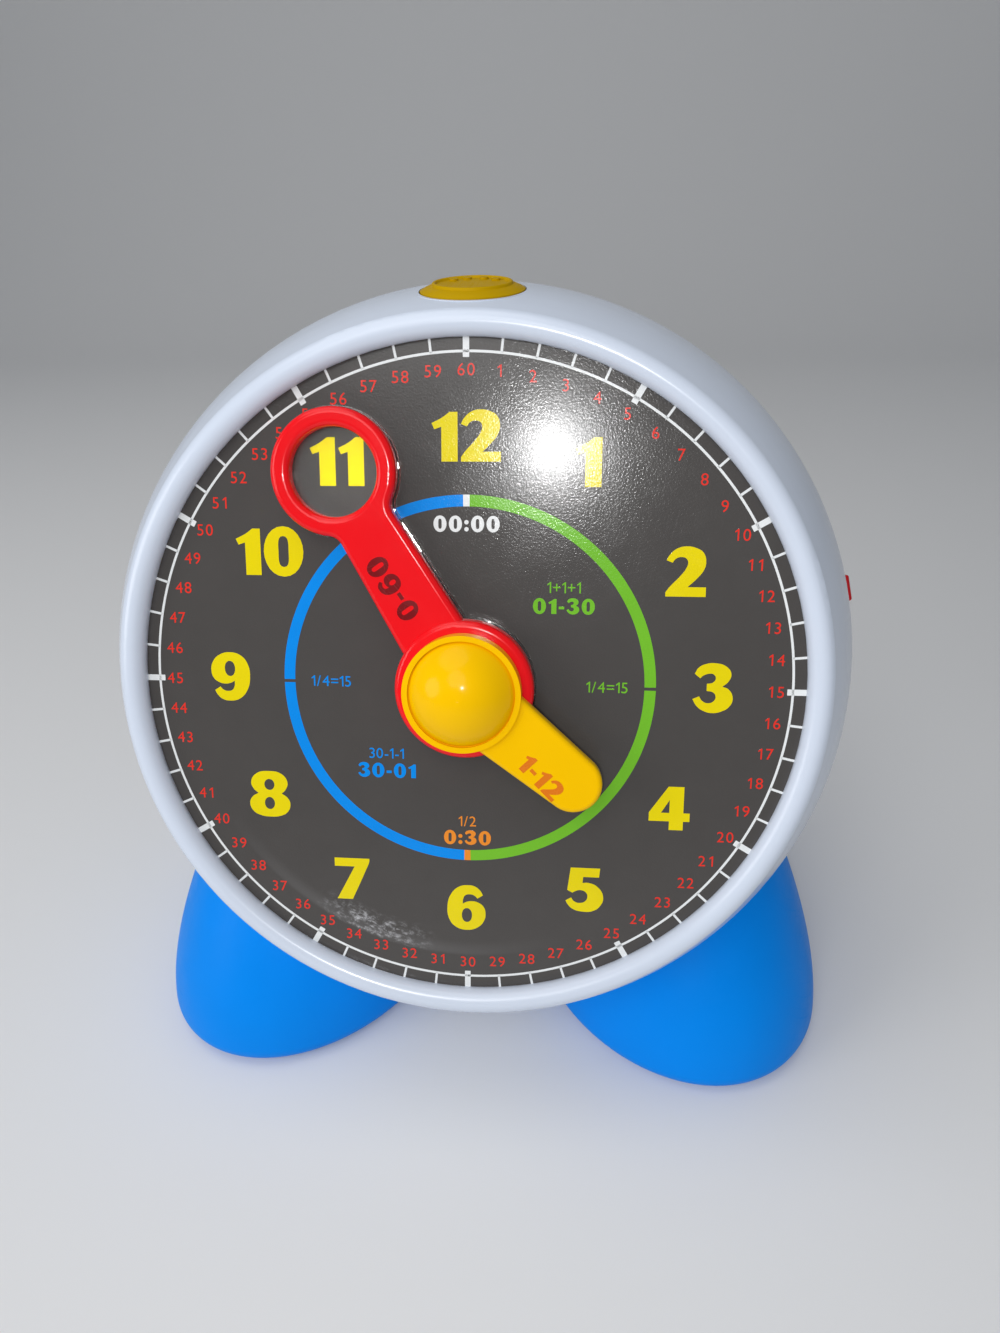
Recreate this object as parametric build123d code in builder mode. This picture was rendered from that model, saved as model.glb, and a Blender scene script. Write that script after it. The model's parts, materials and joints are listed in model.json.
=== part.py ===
from build123d import *
import os
from math import asin, atan2, cos, degrees, hypot, radians, sin, sqrt, tan

# Talking teaching clock: a round case that leans back on two feet, with a printed dial,
# two hands that are set by hand, a talk button on top and a mode slider on its flank.
# Millimetres, +Z up, the dial faces -Y, origin on the floor under the middle of the outline.

# Driving dimensions: stance
lean = 20.0
ground_gap = 27.2

# Driving dimensions: case
girth_radius = 129.4
girth_depth = 61.0
highest_depth = 18.25
rear_corner_radius = 38.0
bead_radius = 4.1
bead_rise = 1.4
case_wall = 2.5
lip_length = 3.0
lip_wall = 1.2
seam_groove = 0.5
case_boss_count = 5
case_boss_inset = 11.0
case_boss_radius = 4.5
case_well_radius = 3.6
case_web = 4.0

# Driving dimensions: fits
seat_gap = 0.1
run_gap = 0.06
free_gap = 0.4
stop_gap = 0.3

# Driving dimensions: fasteners
screw_radius = 1.4
screw_head_radius = 3.0
screw_head_height = 2.0
screw_bite = 8.0
case_screw_bite = 16.0

# Driving dimensions: dial
sheet_thickness = 0.5
plate_thickness = 2.5
skirt_length = 11.0
skirt_wall = 2.2
skirt_inset = 5.0
dial_boss_count = 4
dial_boss_radius = 4.0
dial_boss_sink = 0.8
dial_lug_thickness = 2.5

# Driving dimensions: arbors
spindle_radius = 3.0
tube_radius = 5.0
bush_radius = 7.5
bush_flange_radius = 12.0
bush_flange_thickness = 2.0
bush_length = 9.0
bush_stand = 1.0

# Driving dimensions: minute hand
minute_angle = 329.0
minute_rim_gap = 8.6
minute_ring_radius = 19.0
minute_window_radius = 13.2
minute_root_width = 22.7
minute_tip_width = 17.0
minute_thickness = 4.5
minute_round = 2.0
minute_neck_round = 5.0
minute_hub_radius = 21.5
minute_hub_height = 5.6
minute_hub_wall = 2.0
minute_boss_radius = 8.5
hand_clearance = 1.5
lens_thickness = 2.2
lens_margin = 0.5

# Driving dimensions: hour hand
hour_angle = 129.0
hour_reach = 43.6
hour_tip_radius = 8.9
hour_root_width = 23.0
hour_thickness = 4.0
hour_round = 1.6
hour_rim_radius = 18.0
hour_rim_height = 1.2
hour_rim_wall = 1.7
hour_cap_height = 9.0
hour_cap_wall = 2.0

# Driving dimensions: hand position contacts
contact_disc_thickness = 2.0
minute_disc_radius = 24.0
hour_disc_radius = 20.0
wiper_length = 9.0
wiper_width = 3.0
wiper_height = 2.2
board_thickness = 1.6
position_board_radius = 37.0
position_post_circle = 31.0
position_post_radius = 3.0
position_post_count = 3
clip_radius = 5.5
clip_thickness = 0.8

# Driving dimensions: talk button
button_radius = 16.2
button_forward = 2.0
button_edge_drop = 1.0
button_collar_rise = 0.6
button_ring_radius = 12.6
button_ring_width = 1.5
button_ring_rise = 0.8
button_ring_bevel = 0.35
button_dish_drop = 0.7
button_wall = 2.0
button_travel = 2.5
button_dot_radius = 1.4
button_dot_height = 0.6
button_dot_round = 0.54
button_dot_circle = 9.0
button_dot_angles = (43.0, 73.0, 107.0, 137.0)
button_collar_width = 1.0
button_collar_drop = 1.3
button_guide_depth = 8.5
button_guide_wall = 1.8
button_flange_thickness = 1.5
button_flange_overlap = 1.2
button_stem_radius = 2.8
button_board_length = 60.0
button_board_width = 16.0
button_post_spacing = 50.0
button_switch_side = 6.0
button_switch_height = 3.4
button_board_drop = 17.0
spring_outer_radius = 5.6
spring_wall = 0.8

# Driving dimensions: mode slider
slider_angle = 78.0
slider_from_seam = 11.0
slider_width = 5.6
slider_length = 9.0
slider_stand = 2.1
slider_travel = 3.0
slider_flange_width = 10.0
slider_flange_length = 26.0
slider_flange_thickness = 1.5
slider_peg = 2.0
slider_peg_length = 2.5
mode_switch_height = 5.5
mode_switch_length = 18.0
mode_board_length = 48.0
mode_board_width = 12.0
mode_post_spacing = 40.0
small_post_radius = 3.0

# Driving dimensions: loudspeaker
speaker_height_share = 0.31
speaker_radius = 28.5
speaker_flange_thickness = 1.5
speaker_basket_depth = 13.0
speaker_neck_radius = 15.0
speaker_magnet_radius = 17.0
speaker_magnet_thickness = 8.0
speaker_wall = 1.0
gasket_thickness = 1.2
gasket_width = 3.5
speaker_boss_count = 3
speaker_washer_radius = 5.0
grille_hole_radius = 2.6
grille_pitch = 8.6
grille_rings = 2

# Driving dimensions: batteries
battery_height_share = -0.31
cell_count = 3
cell_radius = 7.1
cell_length = 49.5
cell_nub_radius = 2.6
cell_nub_length = 1.0
contact_thickness = 0.5
contact_side = 9.0
contact_spring_length = 3.0
tray_wall = 2.0
tray_flange = 4.0
tray_screw_strip = 9.0
door_post_sink = 0.8
tray_ear_radius = 4.5
tray_ear_height = 9.0
door_thickness = 2.5
main_board_width = 56.0
main_board_height = 46.0
main_board_inset = 4.0
main_post_length = 5.0
chip_radius = 8.0
chip_height = 2.5
capacitor_radius = 3.2
capacitor_height = 9.0
capacitor_spacing = 16.0

# Driving dimensions: feet
foot_spread_share = 0.5765
foot_setback_share = 0.2647
foot_width_share = 0.412
foot_length_share = 0.5255
foot_height_share = 0.762
foot_widest_height = 12.0
foot_toe_out = 26.7
foot_lean_in = 0.09
foot_taper = 1.5
foot_edge = 6.0
foot_wall = 2.5
foot_top_share = 0.92
foot_levels = 5
pad_height = 1.2
pad_radius = 6.0
pad_reach = 0.62
base_thickness = 2.5
foot_post_radius = 4.5
base_post_share = 0.53
foot_screw_shares = ((0.433, 0.355), (0.68, 0.386))
foot_seat_drop = 4.0

# Screw holes that the shank passes through, and the sinking for a head
screw_way = screw_radius + seat_gap
sunk_radius = screw_head_radius + seat_gap

# The case's outline, worked out from its arcs
tilt = radians(lean)
dial_height = girth_radius + ground_gap
flank_radius = (girth_depth - highest_depth) / sin(tilt)
flank_centre = girth_radius - flank_radius
rear_centre = girth_radius - rear_corner_radius
case_depth = girth_depth + rear_corner_radius
bead_span = girth_depth + bead_rise
bead_centre = flank_centre + sqrt((flank_radius - bead_radius) ** 2 - bead_span**2)
bead_meets_flank = degrees(asin(bead_span / (flank_radius - bead_radius)))
bead_foot = sqrt(bead_radius**2 - bead_rise**2)
dial_opening = bead_centre - bead_foot
minute_reach = dial_opening - minute_rim_gap - minute_ring_radius - lens_margin
nose_spot = (bead_centre, -bead_rise)
flank_spot = (flank_centre, girth_depth)
corner_spot = (rear_centre, girth_depth)
front_reach = -bead_rise * cos(tilt) - bead_centre * sin(tilt) - bead_radius
back_reach = girth_depth * cos(tilt) + rear_centre * sin(tilt) + rear_corner_radius
dial_y = -(front_reach + back_reach) / 2

# Directions and planes of the leaning dial
into = Vector(0, cos(tilt), -sin(tilt))
upward = Vector(0, sin(tilt), cos(tilt))
rightward = Vector(1, 0, 0)
dial_centre = Vector(0, dial_y, dial_height)
dial_axis = Axis(dial_centre, into)
radial_plane = Plane(origin=dial_centre, x_dir=rightward, z_dir=upward)


def layer(depth, up=0.0):
    """Plane parallel to the dial, facing the viewer, this far behind the dial's front."""
    return Plane(origin=dial_centre + into * depth + upward * up, x_dir=rightward, z_dir=-into)


def hand_layer(depth, clock_angle):
    """The same plane turned so that its Y axis runs along a hand."""
    turn = radians(clock_angle)
    across = rightward * cos(turn) - upward * sin(turn)
    return Plane(origin=dial_centre + into * depth, x_dir=across, z_dir=-into)


def level(height):
    """Horizontal plane at this height above the floor."""
    return Plane.XY.offset(height)


def case_radius(depth, inset=0.0):
    """Radius of the front half's flank at one depth, this far inside its skin."""
    return flank_centre + sqrt((flank_radius - inset) ** 2 - (girth_depth - depth) ** 2)


def outside_case(x, y, z):
    """Distance of a point from the skin of the case, negative inside."""
    spot = Vector(x, y, z) - dial_centre
    depth = spot.dot(into)
    radius = hypot(x, spot.dot(upward))
    if depth > girth_depth:
        return hypot(max(radius - rear_centre, 0), depth - girth_depth) - rear_corner_radius
    return hypot(radius - flank_centre, depth - girth_depth) - flank_radius


def underside(x, y):
    """Height of the case's skin above the floor, under one point."""
    low = 0.0
    high = dial_height
    for _ in range(50):
        middle = (low + high) / 2
        if outside_case(x, y, middle) > 0:
            low = middle
        else:
            high = middle
    return low


def solid_case(grow):
    """The case as one closed body, grown evenly by this much."""
    with BuildPart() as body:
        with BuildSketch(radial_plane):
            with BuildLine():
                nose = CenterArc(nose_spot, bead_radius + grow, -90, 90 - bead_meets_flank)
                CenterArc(flank_spot, flank_radius + grow, -bead_meets_flank, bead_meets_flank)
                corner = CenterArc(corner_spot, rear_corner_radius + grow, 0, 90)
                Polyline(corner @ 1, (0, (corner @ 1).Y), (0, (nose @ 0).Y), nose @ 0)
            make_face()
        revolve(axis=dial_axis)
    return body.part


def cylinder_between(plane, radius, length, spots=((0, 0),), mode=Mode.ADD):
    """Round posts, or holes, of one length that stand on a plane at the spots given."""
    with BuildSketch(plane) as rounds:
        with Locations(*spots):
            Circle(radius)
    extrude(rounds.sketch, amount=length, mode=mode)


def clock_spots(radius, count, first_angle):
    """Evenly spaced places on a circle about the dial's centre, as clock angles."""
    angles = [radians(first_angle + 360 / count * step) for step in range(count)]
    return [(radius * sin(angle), radius * cos(angle)) for angle in angles]


def screws(plane, length, spots):
    """Pan head screws whose heads sit on a plane and whose shanks run behind it."""
    cylinder_between(plane, screw_head_radius, screw_head_height, spots)
    cylinder_between(plane, screw_radius, -length, spots)


os.makedirs("parts", exist_ok=True)
case_core = solid_case(-case_wall / 2)

# Talk button's place, just before the highest point of the leaning case
button_depth = highest_depth - button_forward
button_spot = dial_centre + into * button_depth + upward * case_radius(button_depth)
button_plane = Plane(origin=button_spot, x_dir=rightward, z_dir=(0, -1, 0))
button_axis = Axis(button_spot, (0, 0, 1))
button_crown = button_collar_rise + button_ring_rise
button_dish = button_crown - button_dish_drop
button_bore = button_radius + free_gap


def button_level(drop):
    """Horizontal plane on the button's axis, this far below the skin of the case."""
    return Plane(origin=button_spot - Vector(0, 0, drop), x_dir=rightward, z_dir=(0, 0, 1))


guide_bottom = button_level(button_guide_depth)
button_board_plane = button_level(button_board_drop)
button_post_spots = [(side * button_post_spacing / 2, 0) for side in (-1, 1)]
button_flange_top = button_guide_depth + stop_gap
button_flange_bottom = button_flange_top + button_flange_thickness
button_flange_radius = button_bore + button_flange_overlap
button_notch_radius = max(button_bore + button_guide_wall, button_flange_radius) + free_gap
button_notch_drop = button_flange_bottom + button_travel + stop_gap

# Mode slider's place on the right flank
slider_turn = radians(slider_angle)
slider_depth = girth_depth - slider_from_seam
slider_out = rightward * sin(slider_turn) + upward * cos(slider_turn)
slider_reach = slider_flange_length / 2 + slider_travel
slider_near_wall = case_radius(slider_depth - slider_flange_width / 2, case_wall) - stop_gap
slider_seat = sqrt(slider_near_wall**2 - slider_reach**2)
slider_window_width = slider_width + 2 * free_gap
slider_window_length = slider_length + 2 * (slider_travel + free_gap)


def slider_level(radius):
    """Plane square to the flank at the slider, its X axis into the case, at one radius."""
    origin = dial_centre + into * slider_depth + slider_out * radius
    return Plane(origin=origin, x_dir=into, z_dir=slider_out)


slider_rear = slider_seat - slider_flange_thickness
mode_switch_top = slider_rear - stop_gap
mode_board_top = mode_switch_top - mode_switch_height
mode_board_plane = slider_level(mode_board_top)
mode_post_spots = [(0, side * mode_post_spacing / 2) for side in (-1, 1)]

# Places of the case's own bosses
case_boss_circle = girth_radius - case_boss_inset
case_boss_spots = clock_spots(case_boss_circle, case_boss_count, 180 / case_boss_count)
dial_lug_front = sheet_thickness + plate_thickness + skirt_length
dial_boss_circle = case_radius(dial_lug_front, case_wall) - dial_boss_radius + dial_boss_sink
dial_boss_spots = clock_spots(dial_boss_circle, dial_boss_count, 180 / dial_boss_count)
plate_rear = sheet_thickness + plate_thickness

# Bosses and posts inside the front half, ended in the middle of its wall
with BuildPart() as front_bosses:
    cylinder_between(layer(girth_depth), case_boss_radius, girth_depth, case_boss_spots)
    cylinder_between(layer(dial_lug_front), dial_boss_radius, skirt_length - stop_gap, dial_boss_spots)
    cylinder_between(guide_bottom, button_bore + button_guide_wall, button_guide_depth)
    cylinder_between(button_board_plane, small_post_radius, button_board_drop, button_post_spots)
    cylinder_between(mode_board_plane, small_post_radius, girth_radius - mode_board_top, mode_post_spots)
    add(case_core, mode=Mode.INTERSECT)

# Front half of the housing: bead about the dial, flared flank and the lip's outer half
with BuildPart() as front_shell:
    with BuildSketch(radial_plane):
        with BuildLine():
            bead_start = degrees(atan2(bead_rise, -bead_foot))
            bead = CenterArc(nose_spot, bead_radius, bead_start, 360 - bead_meets_flank - bead_start)
            seam_turn = degrees(asin(seam_groove / flank_radius))
            flank = CenterArc(flank_spot, flank_radius, -bead_meets_flank, bead_meets_flank - seam_turn)
            inner_radius = flank_radius - case_wall
            inner_start = degrees(asin(girth_depth / inner_radius))
            inner_end = degrees(asin(lip_length / inner_radius))
            inner = CenterArc(flank_spot, inner_radius, -inner_start, inner_start - inner_end)
            Polyline(
                flank @ 1,
                (girth_radius - seam_groove, girth_depth),
                (girth_radius - lip_wall, girth_depth),
                (girth_radius - lip_wall, girth_depth - lip_length),
                inner @ 1,
            )
            Line(inner @ 0, bead @ 0)
        make_face()
    revolve(axis=dial_axis)
    add(front_bosses.part)
    collar_height = button_guide_depth - button_collar_drop
    cylinder_between(guide_bottom, button_bore + button_collar_width, collar_height)
    cylinder_between(layer(girth_depth), screw_radius, case_screw_bite, case_boss_spots, Mode.SUBTRACT)
    cylinder_between(layer(dial_lug_front), screw_radius, screw_bite, dial_boss_spots, Mode.SUBTRACT)
    cylinder_between(guide_bottom, button_bore, button_guide_depth + button_crown, mode=Mode.SUBTRACT)
    cylinder_between(button_board_plane, screw_radius, screw_bite, button_post_spots, Mode.SUBTRACT)
    cylinder_between(mode_board_plane, screw_radius, screw_bite, mode_post_spots, Mode.SUBTRACT)
    with BuildSketch(slider_level(slider_seat)):
        Rectangle(slider_window_width, slider_window_length)
    extrude(amount=girth_radius - slider_seat + slider_stand, mode=Mode.SUBTRACT)
front_shell.part.label = "front_shell"
export_step(front_shell.part, "parts/front_shell.step")

# Printed sheet, held behind the bead
dial_radius = case_radius(0, case_wall) - free_gap
with BuildPart() as dial_sheet:
    cylinder_between(layer(sheet_thickness), dial_radius, sheet_thickness)
    cylinder_between(layer(sheet_thickness), bush_radius + seat_gap, sheet_thickness, mode=Mode.SUBTRACT)
dial_sheet.part.label = "dial_sheet"
export_step(dial_sheet.part, "parts/dial_sheet.step")

# Depths of the arbors and contacts behind the dial
bush_rear = bush_length - bush_stand
minute_disc_front = bush_rear + stop_gap
minute_disc_rear = minute_disc_front + contact_disc_thickness
position_board_front = minute_disc_rear + wiper_height + seat_gap
position_board_rear = position_board_front + board_thickness
hour_disc_front = position_board_rear + wiper_height + seat_gap
hour_disc_rear = hour_disc_front + contact_disc_thickness
clip_rear = hour_disc_rear + clip_thickness
position_post_spots = clock_spots(position_post_circle, position_post_count, 0)

# Moulded plate behind the sheet, with its skirt, lugs and the position board's posts
with BuildPart() as dial_plate:
    cylinder_between(layer(plate_rear), dial_radius, plate_thickness)
    skirt_radius = dial_radius - skirt_inset
    with BuildSketch(layer(dial_lug_front)):
        Circle(skirt_radius)
        Circle(skirt_radius - skirt_wall, mode=Mode.SUBTRACT)
    extrude(amount=skirt_length)
    lug_ring = dial_lug_front + dial_lug_thickness
    with BuildSketch(layer(lug_ring)):
        with PolarLocations(0, dial_boss_count, 90 - 180 / dial_boss_count):
            with Locations(((skirt_radius + dial_boss_circle - skirt_wall) / 2, 0)):
                Rectangle(dial_boss_circle - skirt_radius + skirt_wall, 2 * dial_boss_radius)
        with Locations(*dial_boss_spots):
            Circle(dial_boss_radius - dial_boss_sink - stop_gap)
            Circle(screw_way, mode=Mode.SUBTRACT)
    extrude(amount=dial_lug_thickness)
    post_top = layer(position_board_front)
    post_length = position_board_front - plate_rear
    notch_floor = button_level(button_notch_drop)
    cylinder_between(post_top, position_post_radius, post_length, position_post_spots)
    cylinder_between(notch_floor, button_notch_radius, button_notch_drop, mode=Mode.SUBTRACT)
    cylinder_between(layer(plate_rear), bush_radius + seat_gap, plate_thickness, mode=Mode.SUBTRACT)
    cylinder_between(post_top, screw_radius, screw_bite, position_post_spots, Mode.SUBTRACT)
dial_plate.part.label = "dial_plate"
export_step(dial_plate.part, "parts/dial_plate.step")

with BuildPart() as dial_screws:
    screws(-layer(lug_ring), screw_bite, [(x, -y) for x, y in dial_boss_spots])
dial_screws.part.label = "dial_screws"
export_step(dial_screws.part, "parts/dial_screws.step")

# Bush that both arbors turn in
with BuildPart() as shaft_bush:
    cylinder_between(layer(bush_rear), bush_radius, bush_length)
    cylinder_between(layer(plate_rear + bush_flange_thickness), bush_flange_radius, bush_flange_thickness)
    cylinder_between(layer(bush_rear), tube_radius + run_gap, bush_length, mode=Mode.SUBTRACT)
shaft_bush.part.label = "shaft_bush"
export_step(shaft_bush.part, "parts/shaft_bush.step")

# Minute hand: depths in front of the dial are negative
minute_rear = -(hand_clearance + lens_thickness)
hub_front = minute_rear - minute_hub_height


def minute_outline(outline, margin):
    """Draws shank and ring of the minute hand, this much larger all round, with a rounded neck."""
    root = minute_root_width / 2 + margin
    tip = minute_tip_width / 2 + margin
    Polygon((-root, 0), (root, 0), (tip, minute_reach), (-tip, minute_reach), align=None)
    with Locations((0, minute_reach)):
        Circle(minute_ring_radius + margin)
    necks = [corner for corner in outline.vertices() if 0 < corner.Y < minute_reach - minute_tip_width / 2]
    fillet(necks, minute_neck_round)


with BuildPart() as minute_hand:
    with BuildSketch(hand_layer(minute_rear, minute_angle)) as hand_outline:
        minute_outline(hand_outline, 0)
        with Locations((0, minute_reach)):
            Circle(minute_window_radius, mode=Mode.SUBTRACT)
    extrude(amount=minute_thickness)
    fillet(minute_hand.faces().sort_by(dial_axis)[0].edges(), minute_round)
    cylinder_between(layer(minute_rear), minute_hub_radius, minute_hub_height)
    fillet(minute_hand.faces().sort_by(dial_axis)[0].edges(), minute_round)
    hub_hollow = minute_hub_height - minute_hub_wall
    hub_inside = minute_hub_radius - minute_hub_wall
    cylinder_between(layer(minute_rear), hub_inside, hub_hollow, mode=Mode.SUBTRACT)
    boss_rear = -bush_stand - stop_gap
    cylinder_between(layer(boss_rear), minute_boss_radius, boss_rear - hub_front)
    cylinder_between(layer(boss_rear), tube_radius, boss_rear - hub_front, mode=Mode.SUBTRACT)
minute_hand.part.label = "minute_hand"
export_step(minute_hand.part, "parts/minute_hand.step")

with BuildPart() as minute_lens:
    with BuildSketch(hand_layer(-hand_clearance, minute_angle)) as lens_outline:
        minute_outline(lens_outline, lens_margin)
        Circle(minute_hub_radius + lens_margin)
        Circle(minute_boss_radius + seat_gap, mode=Mode.SUBTRACT)
    extrude(amount=lens_thickness)
minute_lens.part.label = "minute_lens"
export_step(minute_lens.part, "parts/minute_lens.step")

with BuildPart() as minute_tube:
    cylinder_between(layer(minute_disc_rear), tube_radius, minute_disc_rear - hub_front)
    cylinder_between(
        layer(minute_disc_rear), spindle_radius + run_gap, minute_disc_rear - hub_front, mode=Mode.SUBTRACT
    )
minute_tube.part.label = "minute_tube"
export_step(minute_tube.part, "parts/minute_tube.step")

# Hour hand: arm, rimmed disc and the dome over its screw
hour_rear = hub_front - stop_gap - seat_gap
hour_front = hour_rear - hour_thickness
hour_cap_radius = hour_rim_radius - hour_rim_wall

with BuildPart() as hour_hand:
    with BuildSketch(hand_layer(hour_rear, hour_angle)):
        half_root = hour_root_width / 2
        Polygon(
            (-half_root, 0),
            (half_root, 0),
            (hour_tip_radius, hour_reach),
            (-hour_tip_radius, hour_reach),
            align=None,
        )
        with Locations((0, hour_reach)):
            Circle(hour_tip_radius)
    extrude(amount=hour_thickness)
    fillet(hour_hand.faces().sort_by(dial_axis)[0].edges(), hour_round)
    cylinder_between(layer(hour_rear), hour_rim_radius, hour_thickness + hour_rim_height)
    cylinder_between(layer(hour_front), hour_cap_radius, hour_rim_height, mode=Mode.SUBTRACT)
    cylinder_between(layer(hour_rear), spindle_radius, hour_thickness, mode=Mode.SUBTRACT)
hour_hand.part.label = "hour_hand"
export_step(hour_hand.part, "parts/hour_hand.step")

cap_edge = hour_cap_radius - seat_gap
cap_sphere = (cap_edge**2 + hour_cap_height**2) / (2 * hour_cap_height)
with BuildPart() as hour_cap:
    with BuildSketch(radial_plane):
        with BuildLine():
            cap_middle = hour_front - hour_cap_height + cap_sphere
            cap_inside = cap_sphere - hour_cap_wall
            cap_base = hour_front - cap_middle
            outer_turn = degrees(asin(cap_base / cap_sphere))
            inner_turn = degrees(asin(cap_base / cap_inside))
            dome = CenterArc((0, cap_middle), cap_sphere, -90, 90 + outer_turn)
            hollow = CenterArc((0, cap_middle), cap_inside, -90, 90 + inner_turn)
            Line(dome @ 0, hollow @ 0)
            Line(dome @ 1, hollow @ 1)
        make_face()
    revolve(axis=dial_axis)
hour_cap.part.label = "hour_cap"
export_step(hour_cap.part, "parts/hour_cap.step")

with BuildPart() as hour_spindle:
    spindle_rear = clip_rear + clip_thickness
    cylinder_between(layer(spindle_rear), spindle_radius, spindle_rear - hour_front)
    cylinder_between(layer(hour_front + screw_bite), screw_radius, screw_bite, mode=Mode.SUBTRACT)
hour_spindle.part.label = "hour_spindle"
export_step(hour_spindle.part, "parts/hour_spindle.step")

with BuildPart() as hour_screw:
    cylinder_between(layer(hour_front), screw_head_radius + screw_radius, screw_head_height)
    cylinder_between(layer(hour_front), screw_radius, -screw_bite)
hour_screw.part.label = "hour_screw"
export_step(hour_screw.part, "parts/hour_screw.step")

# Contact discs on the two arbors, and their wipers on the position board
with BuildPart() as minute_disc:
    cylinder_between(layer(minute_disc_rear), minute_disc_radius, contact_disc_thickness)
    cylinder_between(layer(minute_disc_rear), tube_radius, contact_disc_thickness, mode=Mode.SUBTRACT)
minute_disc.part.label = "minute_disc"
export_step(minute_disc.part, "parts/minute_disc.step")

with BuildPart() as minute_wipers:
    with BuildSketch(hand_layer(minute_disc_rear, minute_angle)):
        minute_wiper_middle = minute_disc_radius - wiper_length / 2
        with Locations((0, minute_wiper_middle), (0, -minute_wiper_middle)):
            Rectangle(wiper_width, wiper_length)
    extrude(amount=-wiper_height)
minute_wipers.part.label = "minute_wipers"
export_step(minute_wipers.part, "parts/minute_wipers.step")

with BuildPart() as position_board:
    cylinder_between(layer(position_board_rear), position_board_radius, board_thickness)
    cylinder_between(layer(position_board_rear), tube_radius, board_thickness, mode=Mode.SUBTRACT)
    board_back = layer(position_board_rear)
    cylinder_between(board_back, screw_way, board_thickness, position_post_spots, Mode.SUBTRACT)
position_board.part.label = "position_board"
export_step(position_board.part, "parts/position_board.step")

with BuildPart() as hour_disc:
    cylinder_between(layer(hour_disc_rear), hour_disc_radius, contact_disc_thickness)
    cylinder_between(layer(hour_disc_rear), spindle_radius, contact_disc_thickness, mode=Mode.SUBTRACT)
hour_disc.part.label = "hour_disc"
export_step(hour_disc.part, "parts/hour_disc.step")

with BuildPart() as hour_wipers:
    with BuildSketch(hand_layer(hour_disc_front, hour_angle)):
        hour_wiper_middle = hour_disc_radius - wiper_length / 2
        with Locations((0, hour_wiper_middle), (0, -hour_wiper_middle)):
            Rectangle(wiper_width, wiper_length)
    extrude(amount=wiper_height)
hour_wipers.part.label = "hour_wipers"
export_step(hour_wipers.part, "parts/hour_wipers.step")

with BuildPart() as spindle_clip:
    cylinder_between(layer(clip_rear), clip_radius, clip_thickness)
    cylinder_between(layer(clip_rear), spindle_radius, clip_thickness, mode=Mode.SUBTRACT)
spindle_clip.part.label = "spindle_clip"
export_step(spindle_clip.part, "parts/spindle_clip.step")

# Talk button with its skirt, retaining flange and stem
button_switch_drop = button_board_drop - button_switch_height
button_stem_drop = button_switch_drop - button_travel - seat_gap
button_cap_drop = button_edge_drop + button_wall
with BuildPart() as top_button:
    with BuildSketch(button_plane):
        with BuildLine():
            ring_foot = (button_ring_radius, button_collar_rise)
            ring_inside = button_ring_radius - button_ring_width
            Polyline(
                (0, button_dish),
                (ring_inside, button_dish),
                (ring_inside + button_ring_bevel, button_crown),
                (button_ring_radius - button_ring_bevel, button_crown),
                ring_foot,
            )
            RadiusArc(ring_foot, (button_radius, -button_edge_drop), button_radius)
            Polyline(
                (button_radius, -button_edge_drop),
                (button_radius, -button_flange_top),
                (button_flange_radius, -button_flange_top),
                (button_flange_radius, -button_flange_bottom),
                (button_radius - button_wall, -button_flange_bottom),
                (button_radius - button_wall, -button_cap_drop),
                (button_stem_radius, -button_cap_drop),
                (button_stem_radius, -button_stem_drop),
                (0, -button_stem_drop),
                (0, button_dish),
            )
        make_face()
    revolve(axis=button_axis)
    dot_spots = [
        (button_dot_circle * cos(radians(angle)), button_dot_circle * sin(radians(angle)))
        for angle in button_dot_angles
    ]
    cylinder_between(button_level(-button_dish), button_dot_radius, button_dot_height, dot_spots)
    fillet(top_button.faces().group_by(Axis.Z)[-1].edges(), button_dot_round)
top_button.part.label = "top_button"
export_step(top_button.part, "parts/top_button.step")

with BuildPart() as button_spring:
    spring_length = button_board_drop - button_cap_drop
    spring_inner_radius = spring_outer_radius - spring_wall
    cylinder_between(button_board_plane, spring_outer_radius, spring_length)
    cylinder_between(button_board_plane, spring_inner_radius, spring_length, mode=Mode.SUBTRACT)
button_spring.part.label = "button_spring"
export_step(button_spring.part, "parts/button_spring.step")

with BuildPart() as button_switch:
    with BuildSketch(button_board_plane):
        Rectangle(button_switch_side, button_switch_side)
    extrude(amount=button_switch_height)
button_switch.part.label = "button_switch"
export_step(button_switch.part, "parts/button_switch.step")

with BuildPart() as button_board:
    with BuildSketch(button_board_plane):
        Rectangle(button_board_length, button_board_width)
        with Locations(*button_post_spots):
            Circle(screw_way, mode=Mode.SUBTRACT)
    extrude(amount=-board_thickness)
button_board.part.label = "button_board"
export_step(button_board.part, "parts/button_board.step")

# Mode slider in its window, and the switch that it works
with BuildPart() as mode_slider:
    with BuildSketch(slider_level(slider_rear)):
        Rectangle(slider_flange_width, slider_flange_length)
    extrude(amount=slider_flange_thickness)
    with BuildSketch(slider_level(slider_seat)):
        Rectangle(slider_width, slider_length)
    extrude(amount=case_radius(slider_depth) + slider_stand - slider_seat)
    knob_top = mode_slider.faces().sort_by(Axis(dial_centre, slider_out))[-1]
    fillet(knob_top.edges(), slider_stand / 2)
    with BuildSketch(slider_level(slider_rear)):
        Rectangle(slider_peg, slider_peg)
    extrude(amount=-slider_peg_length)
mode_slider.part.label = "mode_slider"
export_step(mode_slider.part, "parts/mode_slider.step")

with BuildPart() as mode_switch:
    with BuildSketch(mode_board_plane):
        Rectangle(slider_flange_width, mode_switch_length)
    extrude(amount=mode_switch_height)
    with BuildSketch(slider_level(mode_switch_top)):
        Rectangle(slider_peg + 2 * stop_gap, slider_peg + 2 * (slider_travel + stop_gap))
    extrude(amount=-slider_peg_length, mode=Mode.SUBTRACT)
mode_switch.part.label = "mode_switch"
export_step(mode_switch.part, "parts/mode_switch.step")

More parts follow.
